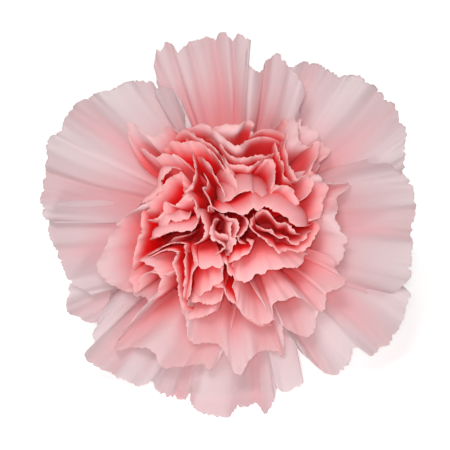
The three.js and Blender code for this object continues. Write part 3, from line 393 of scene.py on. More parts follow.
# the folded petals of the heart
hearts = [
    (2, 9, 12, dict(depthShade=1.8, tone=0.3), [
     -20.9,16.9, -19.6,16.5, -18.6,16.2, -17.6,15.3, -16.3,14.9, -15,15.3, -13.6,15.4, -12.2,15.1,
     -11,14.3, -9.8,13.4]),
    (2, 8, 13, dict(depthShade=1.8), [
     -15,16, -13.8,17.4, -12.9,18, -11,17.9, -9,17.9, -7,17.5, -5.3,16.3, -3.7,14.4, -2.8,13, -1.7,11.4]),
    (2, 2.5, 9, dict(depthShade=2), [
     -12.5,18.9, -10.6,20.4, -8.7,19.4, -6.5,18.1, -4.7,16.9, -3,15, -2.4,13.6, -1,11.8, -0.2,11]),
    (1.5, 3, 9, dict(depthShade=2.1), [
     -6,19.6, -3.9,18.7, -2.9,17.3, -2,16, -0.8,14.8, 0.7,14.3, 2.5,14.5, 4.5,15, 6.3,15, 8.1,15.4]),
    (1.5, 3, 10, dict(depthShade=2.1), [
     -2.4,15, -1.6,13.6, -0.4,12.8, 1.3,12.9, 3.3,12.6, 4.7,13.6, 6.3,14.5]),
    (2, 5, 11, dict(root=(3, 4)), [
     5.3,13.3, 6.6,14.3, 7.8,13.9, 8.4,12.6, 8.1,10.6, 7.9,8.6, 7.2,6.3]),
    (1, 2, 9, dict(depthShade=2), [
     8.8,19.3, 8.3,18, 8.6,16.5, 9.4,14.5, 10,12.5, 10,10.6, 12,9.4]),
    (2, 2, 8.5, dict(depthShade=1.8), [
     8.8,24, 10.2,23, 10.9,21, 10.9,19.3, 10.4,17, 10.8,15, 11.3,13, 12,11.3, 12.9,9.9, 13.9,10.8,
     15.2,10.9]),
    (2.5, 5, 11, dict(tone=0.2), [
     12.5,9.6, 14.5,10.9, 15.9,10.4, 16.1,9, 15.6,7.5, 14.7,6.5, 13.1,5.8]),
    (1, 6.5, 11, dict(tone=0.2, depthShade=1.5), [
     16.5,11, 18.2,9.8, 19.2,8.3, 18.7,6.3, 18.2,4, 17.4,2.2, 16.2,1.7, 15,0.9]),
    (3, 6.5, 15, dict(depthShade=1.8), [
     7.8,9, 8.8,8.6, 10.2,8.7, 11.3,8.3, 12.1,7.6, 12.6,6.4, 13,5, 12,4.6]),
    (3.5, -7.5, 10, dict(root=(4, 0.5), depthShade=1.4, arch=-2), [
     -5.2,3.2, -4.6,4.2, -3,3.3, -1.6,3.5, -0.2,3.3, 1.1,2.7, 2.5,3.1, 3.6,4.1, 4.6,3.6, 6.5,4.5, 8.5,3.3,
     11,1.5, 12.5,0.4, 14.9,0.6]),
    (1.5, 2.5, 10, dict(root=(9, -0.5), depthShade=1.05), [
     3.9,2.7, 3.1,1.6, 3.1,0.4, 4.2,-0.9, 5.4,-2.2, 6.3,-3, 8,-3.9, 9,-5, 11,-4.6, 13.3,-4.9, 15,-3.9,
     16.3,-2.4, 17.2,-0.7, 17.3,0, 16.9,1.8]),
    (1.5, 1.5, 10, dict(root=(8, 0.8), depthShade=1.05), [
     4,0.8, 5.3,0.1, 6.8,-0.6, 8,-1.3, 9,-1.9, 10.2,-1.7, 11.1,-2.2, 11.3,-3, 12.5,-3.3, 14,-2.6, 15,-1.2,
     16,-0.5]),
    (1.5, 1.5, 10, dict(root=(9, -1.5), depthShade=1.05), [
     4,2.5, 5.6,3.6, 7,3, 8,1.8, 8.8,0.9, 10.5,0.9, 11.5,0, 12.5,-1, 14,-1.5]),
    (1, 4.5, 13, dict(root=(-2, -1), tone=0.25), [
     -3.4,3.2, -1.6,2.2, 0.2,1.6, 0.7,0.3, 0.1,-1.8, -0.3,-3.6, -1.1,-5.2, -1.9,-5.8]),
    (1, 4, 13, dict(root=(-3, -1.5), tone=0.25), [
     -3.2,1.9, -4.5,1.5, -5,-0.5, -4.8,-2, -4,-2.8, -2.6,-3.2, -2.2,-4.4, -3.8,-5.1, -4.6,-5.9]),
    (0.5, -4, 8, dict(depthShade=1.8), [
     -20.5,4.2, -17,6.2, -16,6.9, -15,8.2, -15.1,9.5, -14.3,11.4, -12.5,12.2, -11.2,12.3]),
    (0.5, 6.5, 11, dict(depthShade=1.8), [
     -18.6,2.4, -18,4.5, -16.9,6.3, -15.3,8, -14,10, -12.2,10.9, -11,11.5, -10.8,10, -10.9,8.5, -10.4,7.3]),
    (2.5, 1.5, 9, dict(depthShade=1.8), [
     -8.7,15.4, -8.4,13, -8,11.5, -8.6,9.8, -9.4,8.2, -10.6,6.6]),
    (2, 5, 12, dict(depthShade=1.8), [
     -7.9,14.8, -6.9,14.6, -6,13.6, -5,12.8, -4.6,11.3, -3.9,10.5, -3.6,9.5, -3,8.6, -2.6,7.5, -2.4,6.3,
     -2.7,5.5]),
    (1.5, 3, 10, dict(depthShade=1.8), [
     -6.6,11.5, -5.6,9.5, -6.6,8.2, -5.8,7, -5.3,6, -5.1,4.8, -4.3,3.6]),
    (1, 2.5, 7.5, dict(depthShade=1.8), [
     -19.7,4.4, -19.4,3, -19.5,0.5, -19.8,-1.5, -20.5,-4, -21.2,-6.5, -21.2,-9]),
    (2, 6, 13, dict(depthShade=1.5), [
     -18.4,1.6, -16.5,1.9, -15.3,2.5, -14.7,4, -14.4,5.4, -13,4.7, -11.6,5.2, -10.4,6.4, -9.3,8]),
    (2, -5, 10, dict(root=(-9, -3), depthShade=1.1), [
     -17.5,-2.2, -16,-1.8, -14.2,-1, -12.5,-0.5, -10.5,-0.7, -9,-0.5, -8,0.5, -7.6,2, -8.5,4]),
    (1, 2, 9, dict(depthShade=1.8), [
     -18,-5.6, -16.3,-4.7, -14.8,-3.8, -13.5,-3.2, -12,-3, -10.5,-3.2, -10.3,-4.2, -10,-5]),
    (1.5, 2, 8.5, dict(depthShade=1.8), [
     -18.6,-6.6, -17.2,-5.9, -15.8,-5.1, -14.3,-4.6, -12.8,-4.7, -12.2,-5.6, -12.8,-7.5, -12.3,-8.8,
     -12,-10, -11.8,-12.5, -11.4,-15, -10.6,-16.8, -9,-17.6]),
    (0.5, 8, 11, dict(tone=0.3, depthShade=1.4), [
     -21,-6.6, -19,-6.9, -18.2,-7.6, -17,-8.6, -15.7,-9.7, -14.5,-9.8, -13.3,-10]),
    (0.5, 6.5, 8.5, dict(depthShade=1.4, tone=0.2), [
     -21.2,-8, -22,-10.6, -21.5,-11.9, -20.6,-13.5, -20,-12, -20,-10.5, -18.7,-9.5, -17,-9.2, -15.7,-10,
     -15.8,-12, -16.3,-14, -17.8,-15.5, -19,-16.5]),
    (2, 0.8, 9, dict(depthShade=1.8), [
     -10.3,-4.8, -10.2,-7, -10.3,-9, -10.5,-12, -10.8,-14.8]),
    (2.5, 2.5, 11, dict(root=(-8.5, -2), depthShade=1.8), [
     -8.8,-5, -8.3,-6.2, -7.7,-7.4, -8.4,-8.4, -8.9,-9.5, -9,-11.5, -9.3,-13.5, -10,-15.3]),
    (1.5, 8, 14, dict(root=(-5, -3), tone=0.1, depthShade=1.3), [
     -8.3,-13.8, -7.3,-14.1, -6.3,-13, -5.2,-12.9, -4.6,-11.8, -3.3,-11.7, -2.5,-10.6, -2.7,-9, -2.4,-7.8]),
    (1.5, 6.5, 15, dict(root=(-6, -1), tone=0.1, depthShade=1.3), [
     -8.7,-5.2, -8,-8, -6.5,-8.2, -4.8,-8, -3,-8, -2.5,-7, -3.6,-6.4]),
    (0.5, 6.5, 10, dict(tone=0.2), [
     -9.8,-14.8, -7.8,-15.4, -6,-15.7, -4.2,-15.6, -3,-15, -2.6,-13.5]),
    (0.5, 5, 9, dict(tone=0.3), [
     -11.5,-15.4, -10.5,-18.6, -8.5,-18.8, -6,-18.1, -3.5,-17]),
    (1, 4, 8, dict(depthShade=1.5), [
     -5,-11.6, -3.6,-12, -2.4,-12.4, -1.8,-14, -0.6,-15.4, 0.8,-17, 2.2,-18.4, 4,-19.8, 5.3,-20.4,
     6.5,-20.3, 7.6,-20.2]),
    (1.8, 10, 13, dict(root=(3, -4), tone=0.45, depthShade=0.85), [
     -0.6,-12.2, 0.3,-14.8, 0.5,-16.2, 1.6,-17.8, 3.2,-19.2, 5.5,-20, 7.6,-19.4, 7.8,-17.8, 7.7,-16.3,
     9,-15.4, 11,-14.6, 12.2,-14.1, 14.3,-15, 16.8,-16.8, 18.1,-17.3, 18.8,-16.4, 19.1,-15, 18.8,-13.6,
     21,-13.3, 23,-11, 21.5,-9.5, 20.3,-6]),
    (1.5, 8, 14, dict(root=(4, -0.5), tone=0.35, depthShade=0.85), [
     -1,-8.5, 0,-9.8, 1,-10.8, 2.3,-11, 4.3,-9.7, 6.2,-9.2, 7.5,-8.6, 9,-8.3, 11,-8.1, 13,-7.9, 14.5,-6.7,
     15.5,-5.5]),
    (2, 6, 12, dict(root=(2.5, -2), tone=0, depthShade=1.7), [
     -1.6,-7.2, -0.3,-6.6, 0.8,-6.3, 1.3,-5.6, 2.4,-5.2, 3.2,-4.4, 3.3,-3, 2.6,-2.2]),
    (1.5, 4.5, 12, dict(root=(-4, 0), depthShade=0.9), [
     -7.5,4, -6.9,2.4, -6.4,0.5, -6.2,-1.3, -7,-2.6, -8.6,-3.4]),
    (1, 4, 13, dict(root=(0.5, 0)), [
     1.2,2.4, 2.4,1.6, 2.5,0.3, 1.8,-0.6, 1,-1.7, 0.8,-2.9, 2,-3.1]),
    (1.5, 4.5, 11, dict(root=(-1, -4), depthShade=1.5), [
     -2.8,-6.6, -1.7,-7.4, -1.5,-9, -0.6,-10.2, 0.7,-11.2]),
    (1.5, 2.5, 11, dict(root=(-6, 3), depthShade=1.1), [
     -10.2,5, -9.2,6.2, -8.2,5.6, -8.4,4.2, -7.9,3.1, -7.4,1.7]),
    (1.5, -9, 7, dict(root=(4, 0.5), tone=0.15, arch=-4), [
     -3.2,5.2, -2.2,5.2, -0.7,6.1, 0.8,7.1, 1.6,7.2, 2.3,7.6, 3.3,7.7, 3.9,6.7, 4.8,6.3, 6.1,6.7, 7.2,6.8]),
    (1.5, -5, 10, dict(root=(-9, -3)), [
     -15,-0.8, -14.2,0, -13.7,0.8, -13.3,1.7, -12.2,1.35, -11.2,1.6, -10.6,2, -9.7,1.7, -9.3,2.4,
     -9.1,3.2]),
    (-1.5, 1.2, 10, dict(depthShade=1.1), [
     -13.7,-2.9, -13,-2.3, -12.2,-1.9, -11.1,-1.7, -9.6,-1.35, -8.6,-0.9]),
    (1, 3, 13, dict(root=(-3, -1.5)), [
     -1.2,1.5, -0.8,0.9, -0.9,0, -1,-0.8, -0.8,-1.7, -0.6,-2.5, -0.7,-3.3, -1.1,-4.2, -1.5,-4.9]),
    (0.3, -2.5, 14, dict(root=(-3, 1)), [
     -4.3,-0.4, -3.7,-0.95, -3,-1.3, -2.3,-1.4, -1.6,-1.6, -1.3,-2.1, -1.3,-3, -1.8,-3.9]),
    (1.8, 4, 12, dict(root=(-4, 4)), [
     -2.2,13, -1,11.4, -0.2,10.2, 0.6,9, 0.5,7.6, -0.6,6.2]),
]
petals = {"guard": guards, "crest": crests, "collar": collars, "heart": hearts}

# how each kind of petal grows, in mm: arch of the lip over the margin, depth of its waves, how far the ends
# of the margin fall, how much the wall widens and shifts half way up, broad or folded, tone (1 is an outer
# petal's colour, 0 the heart's), the share of the blade from which it is built, and in how many rows
petalKinds = {
    "guard": dict(arch=1.5, frill=0.9, fall=1.2, bulge=2.6, sway=2, broad=True, tone=1, start=0.02, rows=34),
    "crest": dict(arch=1, frill=0.6, fall=3, bulge=2, sway=1.5, broad=True, tone=0.9, start=0.05, rows=34),
    "collar": dict(arch=0.8, frill=0.8, fall=1.6, bulge=1.6, sway=1.4, broad=True, tone=0.62, start=0.1,
                   rows=30),
    "heart": dict(arch=0.3, frill=0.45, fall=2.2, bulge=0.5, sway=0.6, broad=False, tone=0, start=0.12,
                  rows=24),
}
# what all petals share, in mm or as shares
head = {
    "edge": 5, "rise": 17, "width": 19,  # the dome that the margins stand on
    "rootRadius": 5, "rootHeight": 1, "claw": 1.6,  # where claws leave the head, and half a claw's width
    "column": 0.36,  # spacing of points along a margin
    "crowding": 1.35,  # how much the rows crowd towards the margin
    "thick": (0.34, 0.2),  # blade low down and at its margin
    "thinning": 12,  # how far below the margin it starts to thin
    "flareMost": 0.85,  # the share of a petal's reach that its lip may take up
    "lipAt": 0.55,  # where on the lip its highest point is
    "fallFrom": 0.72,  # the share of half the margin where its end starts to fall
    "fullShadeAt": 11,  # depth below the margins where the painted shade of the heart's gaps is reddest
}
# ripples across a blade, in mm: depth, length and turn of phase. Swells run far down, pleats have sharp
# backs, and frills stay near the margin: the powers say how fast they grow towards it
ripples = {
    "broad": {
        "swells": [(1.3, 19, 1)], "swellPower": 1.2,
        "pleats": [(0.75, 8.6, 2), (0.35, 4.7, 3)],
        "frills": [(0.45, 5.1, 2), (0.3, 2.9, 3), (0.1, 1.7, 5)], "frillPower": 9,
    },
    "folded": {
        "swells": [(0.5, 9.5, 1), (0.4, 5.1, 2)], "swellPower": 2,
        "pleats": [],
        "frills": [(0.55, 3.3, 2), (0.4, 1.9, 3)], "frillPower": 5,
    },
    "foldPower": 1.2,  # the same for a petal's own folds
    "lull": 23,  # how far apart the frills die down
}
# the cut edge, in mm: teeth on scallops
cutEdge = {
    "tooth": 1.05, "shallowest": 0.15, "broad": 0.65, "folded": 0.4,  # spacing of the teeth, and their depths
    "scallop": 4.4, "dip": 0.15, "nick": 0.9,  # the same for the scallops, and for a deeper nick
    "proud": 0.3,  # how far the edge stands out before it is cut
    "from": 0.88,  # share of the blade where it starts
}


def dome(r):
    return head["edge"] + head["rise"] / (1 + (r / head["width"]) ** 3)


def waves(rows, at, phase):
    return sum(depth * np.sin(2 * math.pi * at / length + turn * phase) for depth, length, turn in rows)


def pleats(rows, at, phase):
    return sum(depth * (np.sqrt(np.sin(math.pi * at / length + turn * phase) ** 2 + 0.04) - 0.6)
               for depth, length, turn in rows)


# the blade rises from its claw as a cubic curve in each of its meridians, through four knots: claw, wall,
# lip and margin. m are the margin's points, and u runs from -1 to 1 along it
def petalKnots(q, mean, m, u):
    root = q["root"] if "root" in q else mean / np.linalg.norm(mean) * head["rootRadius"]
    aim = (mean - root) / np.linalg.norm(mean - root)
    side = np.array([aim[1], -aim[0]])
    if np.dot(m[-1] - m[0], side) < 0:
        side = -side
    claw = root + side * (head["claw"] * u)[:, None]
    reach = np.linalg.norm(m - claw, axis=1)
    outwards = (m - claw) / reach[:, None]
    if q["flare"] > 0:
        flare = np.minimum(q["flare"], head["flareMost"] * reach)
    else:  # a lip that rolls inwards does so least at its ends
        flare = q["flare"] * (1 - 0.8 * smooth(0.5, 1, np.abs(u)))
    top = dome(np.linalg.norm(m, axis=1)) + q["rise"] + q.get("lean", 0) * u
    top = top - q["fall"] * smooth(head["fallFrom"], 1, np.abs(u))
    knots = np.stack([
        np.column_stack([claw, np.full_like(top, head["rootHeight"])]),
        np.column_stack([m - outwards * flare[:, None], np.full_like(top, q["foot"])]),
        np.column_stack([m - outwards * (head["lipAt"] * flare)[:, None], top + q["arch"]]),
        np.column_stack([m, top]),
    ])
    return side, outwards, knots


# how far the waves push each point off the blade; s runs along the margin in mm, v from claw to margin
def petalWaves(q, m, s, v, phase):
    r = ripples["broad" if q["broad"] else "folded"]
    # they wander a little on the way down
    at = s + (1 - v) * (1.3 * np.sin(5.1 * v + phase) + 0.8 * np.sin(9 * v + 0.21 * s + 3 * phase))
    lull = 0.8 + 0.3 * np.sin(2 * math.pi * s / ripples["lull"] + 1.7 * phase)
    push = v ** r["swellPower"] * waves(r["swells"], at, phase)
    push = push + (0.3 + 0.7 * v) * v * pleats(r["pleats"], at, phase)
    push = push + lull * v ** r["frillPower"] * waves(r["frills"], at, phase)
    push = push * q["frill"]
    for x, y, height, half in q.get("folds", []):
        middle = s[np.argmin(np.hypot(m[:, 0] - x, m[:, 1] - y))]
        push = push + height * v ** ripples["foldPower"] * np.exp(-((at - middle) / half) ** 2)
    return push


# how far the margin is cut back: uneven teeth on uneven scallops, with a deeper nick here and there
def petalCut(q, index, s, v, phase):
    c = cutEdge
    t = s / c["tooth"] + 0.4 * np.sin(0.7 * s / c["tooth"] + phase) + 0.25 * np.sin(1.9 * s + 2 * phase)
    tooth = 1 - np.abs((t % 1) * 2 - 1)
    deepest = c["broad"] if q["broad"] else c["folded"]
    size = np.array([c["shallowest"] + deepest * draw(index * 7.7 + k) ** 1.3 for k in np.floor(t)])
    turn = s / c["scallop"] + 0.3 * np.sin(s / 3.1 + 2 * phase) + phase
    scallop = (1 - np.abs(np.sin(math.pi * turn))) ** 2
    nick = np.array([draw(index * 3.1 + 9 + k) for k in np.floor(turn + 0.5)]) ** 2
    cut = size * tooth + (c["dip"] + c["nick"] * nick) * scallop - c["proud"]
    return smooth(c["from"], 1, v) * cut


def makePetal(index, kind, rise, flare, foot, own, pairs):
    q = {**petalKinds[kind], "rise": rise, "flare": flare, "foot": foot, **own}
    line = np.array(pairs, float).reshape(-1, 2)
    full = lineLength(line)
    s = np.linspace(0, full, int(full / head["column"]) + 1)
    u = s / full * 2 - 1
    m = alongLine(line, s)
    side, outwards, knots = petalKnots(q, line.mean(0), m, u)
    v = q["start"] + (1 - q["start"]) * (1 - (1 - np.linspace(0, 1, q["rows"] + 1)) ** head["crowding"])
    cubic = np.stack([(1 - v) ** 3, 3 * v * (1 - v) ** 2, 3 * v * v * (1 - v), v ** 3])
    slope = np.stack([3 * (1 - v) ** 2, 6 * v * (1 - v), 3 * v * v])
    p = np.einsum("kj,kic->jic", cubic, knots)
    run = np.einsum("kj,kic->jic", slope, knots[1:] - knots[:-1])
    v = v[:, None]
    phase = 6.28 * draw(index + 1)  # anywhere in a full turn
    push = petalWaves(q, m, s, v, phase)  # square to the blade
    out = (run[..., :2] * outwards).sum(-1)
    length = np.hypot(out, run[..., 2]) + 1e-9
    p[..., :2] -= (push * run[..., 2] / length)[..., None] * outwards
    p[..., 2] += push * out / length
    cut = petalCut(q, index, s, v, phase)
    p -= run / (np.linalg.norm(run, axis=-1, keepdims=True) + 1e-9) * cut[..., None]
    swing = np.sin(math.pi * v) * (q["bulge"] * u + q["sway"] * (2 * draw(index * 5.3 + 2) - 1))
    p[..., :2] += side * swing[..., None]
    p = restOnSurface(p)
    depth = dome(np.linalg.norm(p[..., :2], axis=-1)) + q["rise"] - p[..., 2]
    steps = np.linalg.norm(np.diff(p, axis=0), axis=-1)
    along = np.concatenate([np.zeros((1, len(s))), np.cumsum(steps, 0)])
    left = along[-1] - along  # mm to the margin
    low, thin = head["thick"]
    points, faces = closedBlade(p, thin + (low - thin) * smooth(0, head["thinning"], left))
    same = np.ones(left.shape)
    layers = {
        "tone": q["tone"] * same,
        "reach": (v + q.get("pale", 0) * (1 - v)) * same,
        # surface: how near a point lies to its margin's height; the lower it lies, the redder the painted
        # shade
        "surface": 1 - np.clip(depth * q.get("depthShade", 1) / head["fullShadeAt"], 0, 1),
        # a pale line on the edge, and on a folded petal a pale band below it
        "margin": 0.3 * np.exp(-left / 0.35) + (1 - q["tone"]) * 0.6 * np.exp(-(left / 1.1) ** 2),
        # ridge: the backs of the pleats, which take painted highlight
        "ridge": np.clip(push + 0.1, 0, 1) * v ** 2 * q["broad"],
        # crease: the hollows of the pleats, which take painted shade
        "crease": np.clip(0.1 - push, 0, 1.1) * v * q["broad"],
        "blade": np.stack([s * same, along, index * 7.3 * same], -1),
    }
    bothSides = {key: np.concatenate([values.reshape(-1, *values.shape[2:])] * 2)
                 for key, values in layers.items()}
    return toPart(points), faces, bothSides


def makeBloom(material):
    index = 0
    for kind, group in petals.items():
        made = []
        for petal in group:
            made.append(makePetal(index, kind, *petal))
            index += 1
        dress(meshPiece(kind + "Petals", *joined(made)), material, "bloom")


# a surface of revolution about the bloom's axis through a smoothed profile of (radius, height) in mm; it
# also gives each point's angle, mm along the profile and share of it
def turned(profile, sides, rows, reshape=None):
    line = np.array(profile, float)
    full = lineLength(line)
    s = np.linspace(0, full, rows + 1)[:, None]
    ring = alongLine(line, s[:, 0])
    angle = fullCircle(sides)
    r, z = np.maximum(ring[:, :1], 0) + 0 * angle, ring[:, 1:] + 0 * angle
    if reshape:
        r, z = reshape(r, z, angle, s / full)
    where = np.stack(np.broadcast_arrays(angle, s, s / full), -1)
    return roundAxis(r, z, angle).reshape(-1, 3), ringFaces(rows + 1, sides), where.reshape(-1, 3)


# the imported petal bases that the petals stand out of, with a crumpled top
coreShape = {
    "profile": [(0.3, -18), (3.4, -18), (4.9, -8), (5.1, -0.4), (6.6, 2.2), (11, 4.2), (16, 5.6),
                (18.2, 6.4), (16.4, 7.4), (9.5, 10), (4, 11.2), (0.3, 11.5)],
    "crumple": 0.5,  # mm in height
    "spread": 0.03,  # share of the radius
    "streakRadius": 9,  # where its streaks have their true width
}


def makeCore(material):
    c = coreShape

    def crumple(r, z, angle, share):
        fold = np.sin(9 * angle + 31.4 * share) * 0.6 + np.sin(17 * angle - 31 * share + 1.3) * 0.4
        fold = fold * smooth(0.42, 0.6, share) * (1 - smooth(0.97, 1, share))
        return r * (1 + c["spread"] * fold), z + c["crumple"] * fold

    points, faces, where = turned(c["profile"], 120, 110, crumple)
    blade = np.column_stack([where[:, 0] * c["streakRadius"], where[:, 1], np.full(len(points), 900.0)])
    piece = meshPiece("petalBases", toPart(points), faces, {"blade": blade})
    dress(piece, material, "bloom")


# waxy green skin of a pink's calyx, bracts, stem and leaves: grey wax over green, finely ribbed along its
# length, which looks dull and blue-green with soft pale streaks
waxySkin = {
    "shared": {
        "ribLength": 16.7,  # mm
        "ribDepth": 0.12,  # mm
        "cloud": 6.25,  # mm across a patch of thicker wax
        "roughness": (0.42, 0.68),  # where the wax is thin and where it is thick
    },
    # colours from the hollows to the ribs, dry tips, mm across a rib, drawn coarser than life, and wax
    "calyxSkin": {"skin": ("#5f7a47", "#86a06c", "#aebf96"), "tip": "#b9a27c", "rib": 0.55, "wax": 0.35},
    "bractSkin": {"skin": ("#6b824f", "#94a878", "#bcc8a2"), "tip": "#b49a6e", "rib": 0.5, "wax": 0.3},
    "stemSkin": {"skin": ("#5a7850", "#7f9c72", "#a7bc9a"), "tip": "#c9d2ac", "rib": 0.45, "wax": 0.4},
    "leafSkin": {"skin": ("#587560", "#7d9a82", "#a9bfa8"), "tip": "#b7a884", "rib": 0.5, "wax": 0.45},
}


def makeWaxySkin(name):
    s = {**waxySkin["shared"], **waxySkin[name]}
    material, tree = newMaterial(name)
    where = addNode(tree, "Attribute", {"attribute_name": "where"}).outputs["Vector"]
    split = addNode(tree, "SeparateXYZ", None, {0: where})
    ribAt = addNode(tree, "VectorMath", {"operation": "MULTIPLY", 1: (1 / s["rib"], 1 / s["ribLength"], 0)},
                    {0: where})
    rib = addNode(tree, "TexNoise", {"Scale": 1.0, "Detail": 3.0, "Roughness": 0.5}, {"Vector": ribAt})
    place = addNode(tree, "TexCoord")
    cloud = addNode(tree, "TexNoise", {"Scale": 1 / (s["cloud"] * mm), "Detail": 5.0, "Roughness": 0.6},
                    {"Vector": place.outputs["Object"]})
    half = addNode(tree, "Math", {"operation": "MULTIPLY", 1: 0.5}, {0: cloud})
    mixed = addNode(tree, "Math", {"operation": "MULTIPLY_ADD", 1: 0.55}, {0: rib, 2: half})
    skin = addNode(tree, "ValToRGB", None, {"Fac": mixed}, list(zip((0.32, 0.52, 0.75), s["skin"])))
    ended = addNode(tree, "Mix", {"data_type": "RGBA", 7: colour(s["tip"])},
                    {"Factor": split.outputs["Z"], 6: skin})
    relief = addNode(tree, "Bump", {"Strength": 0.5, "Distance": s["ribDepth"] * mm}, {"Height": rib})
    rough = addNode(tree, "MapRange", {"To Min": s["roughness"][0], "To Max": s["roughness"][1]},
                    {"Value": cloud})
    front = addNode(tree, "BsdfPrincipled",
                    {"IOR": 1.45, "Specular IOR Level": 0.45, "Sheen Weight": s["wax"] * 0.4,
                     "Sheen Roughness": 0.4, "Subsurface Weight": 0.08, "Subsurface Scale": 1 * mm},
                    {"Base Color": ended.outputs[2], "Roughness": rough, "Normal": relief})
    addNode(tree, "OutputMaterial", None, {"Surface": front})
    return material


# what the waxy skin needs to know of each point: mm across, mm along and how much it is tip
def skinLayer(across, along, tip, sides=1):
    where = np.stack(np.broadcast_arrays(across, along, tip), -1).reshape(-1, 3)
    return {"where": np.concatenate([where] * sides)}


# the calyx: a tube with five pointed teeth round its mouth
calyxShape = {
    "foot": -31,  # its height in the bloom's frame
    "teeth": 5, "tooth": 3.4,  # their number and length
    "leanOut": 0.06,  # of the teeth, as a share of the radius
    "nerve": 0.05,  # depth of its ribs
    # outside and inside, as radius and height over the foot
    "outer": [(0.2, 0), (2.5, 0), (3.9, 0.8), (4.7, 5), (5.4, 14), (6.3, 22), (6.8, 27)],
    "inner": [(5.9, 27), (5.4, 22), (4.5, 12), (3.4, 9)],
    "sides": 150, "rows": (71, 31),
    "radius": 5,  # where its ribs have their true width
}


def makeCalyx(material):
    c = calyxShape
    outer, inner = np.array(c["outer"], float), np.array(c["inner"], float)
    out = np.linspace(0, lineLength(outer), c["rows"][0])
    down = np.linspace(0, lineLength(inner), c["rows"][1])
    ring = np.concatenate([alongLine(outer, out), alongLine(inner, down)])
    # the share of each ring in the teeth
    rim = np.concatenate([smooth(0.82, 1, out / out[-1]), 1 - smooth(0, 0.25, down / down[-1])])[:, None]
    angle = fullCircle(c["sides"])
    peak = 1 - np.abs((angle / (2 * math.pi) * c["teeth"]) % 1 * 2 - 1)
    rise = peak ** 1.2 * rim
    r = ring[:, :1] * (1 + c["leanOut"] * rise) + c["nerve"] * np.cos(c["teeth"] * 2 * angle)
    z = ring[:, 1:] + c["foot"] + c["tooth"] * rise
    along = np.concatenate([out, out[-1] + down])[:, None]
    layer = skinLayer(angle * c["radius"], along, np.clip(peak * rim - 0.75, 0, 0.25) * 2.4)
    points = toPart(roundAxis(r, z, angle).reshape(-1, 3))
    piece = meshPiece("calyxTube", points, ringFaces(len(ring), c["sides"]), layer)
    dress(piece, material, "calyx")


# bracts: two crossed pairs of pointed scales on a ring that also seats the stem
bractShape = {
    "length": 10, "thick": 0.55,
    "half": 1.25,  # half a scale's width, as an angle
    "rows": 40, "columns": 24,
    "ring": [(0.2, -2.2), (2.5, -2.2), (3.7, -1.6), (4.5, -0.8), (5.0, 0.3), (4.9, 0.7), (4.3, 0.7),
             (3.9, 0.1), (3.4, -0.25), (0.2, -0.25)],
}


def makeBracts(material):
    c, foot, radius = bractShape, calyxShape["foot"], calyxShape["radius"]
    v = np.linspace(0, 1, c["rows"] + 1)[:, None]
    u = np.linspace(-1, 1, c["columns"] + 1)
    half = (c["half"] - 0.35 * v) * np.sqrt(np.clip(1 - v ** 2.4, 0, 1)) + 0.02
    r = 4.8 + 0.6 * smooth(0, 0.5, v) + 0.72 * v * v + 0.12 * np.cos(u * 3.1) * v
    z = foot - 0.6 + v * c["length"] + 0.9 * v ** 6 * (1 - u ** 2)
    thick = c["thick"] * (1 - 0.55 * smooth(0.6, 1, v)) * (1 - 0.5 * np.abs(u) ** 4)
    parts = []
    for turn in (0, 90, 180, 270):
        points, faces = closedBlade(roundAxis(r, z, math.radians(turn) + half * u), thick)
        layer = skinLayer(half * u * radius, v * c["length"] + 60 + turn, smooth(0.86, 1, v) * 0.8, 2)
        parts.append((points, faces, layer))
    points, faces, where = turned([(r, z + foot) for r, z in c["ring"]], 96, 48)
    parts.append((points, faces, skinLayer(where[:, 0] * radius, where[:, 1], 0)))
    points, faces, layers = joined(parts)
    dress(meshPiece("bractScales", toPart(points), faces, layers), material, "bracts")


# the stem: a round bar that bows down to its cut end, with a swollen node. Its path is in mm: x and y from
# the bloom's own origin, z from the surface
stemShape = {
    "radius": 2.1, "taper": 0.06,  # the share of it that is lost on the way
    "nodeAt": 0.58, "swelling": 1.2,  # share of the length, and how much the radius grows there
    "topBelowFoot": 2.5, "straight": 9,  # where it leaves the bracts, and how far it runs on straight
    "intoRing": 0.6,  # how far its top runs on into the bracts' ring
    "path": [(-0.8, 52, 4.6), (-1.8, 74, 3.6), (-3.1, 96, 2.0), (-4, 111, 1.674)],
    "rows": 220, "sides": 64,
    # the cut end, a clean slice with a slightly sunken pith: share of the radius, mm sunk
    "slice": [(0.97, -0.12), (0.86, -0.16), (0.6, -0.1), (0.42, 0.1), (0.2, 0.25), (0.02, 0.25)],
}


def stemLine(count):
    c = stemShape
    top = toPart([0, 0, calyxShape["foot"] - c["topBelowFoot"]]) / mm
    below = np.array([*bloomPlace["origin"][:2], 0])
    return spaceLine([top, top - c["straight"] * axisOut, *(below + p for p in c["path"])], count)


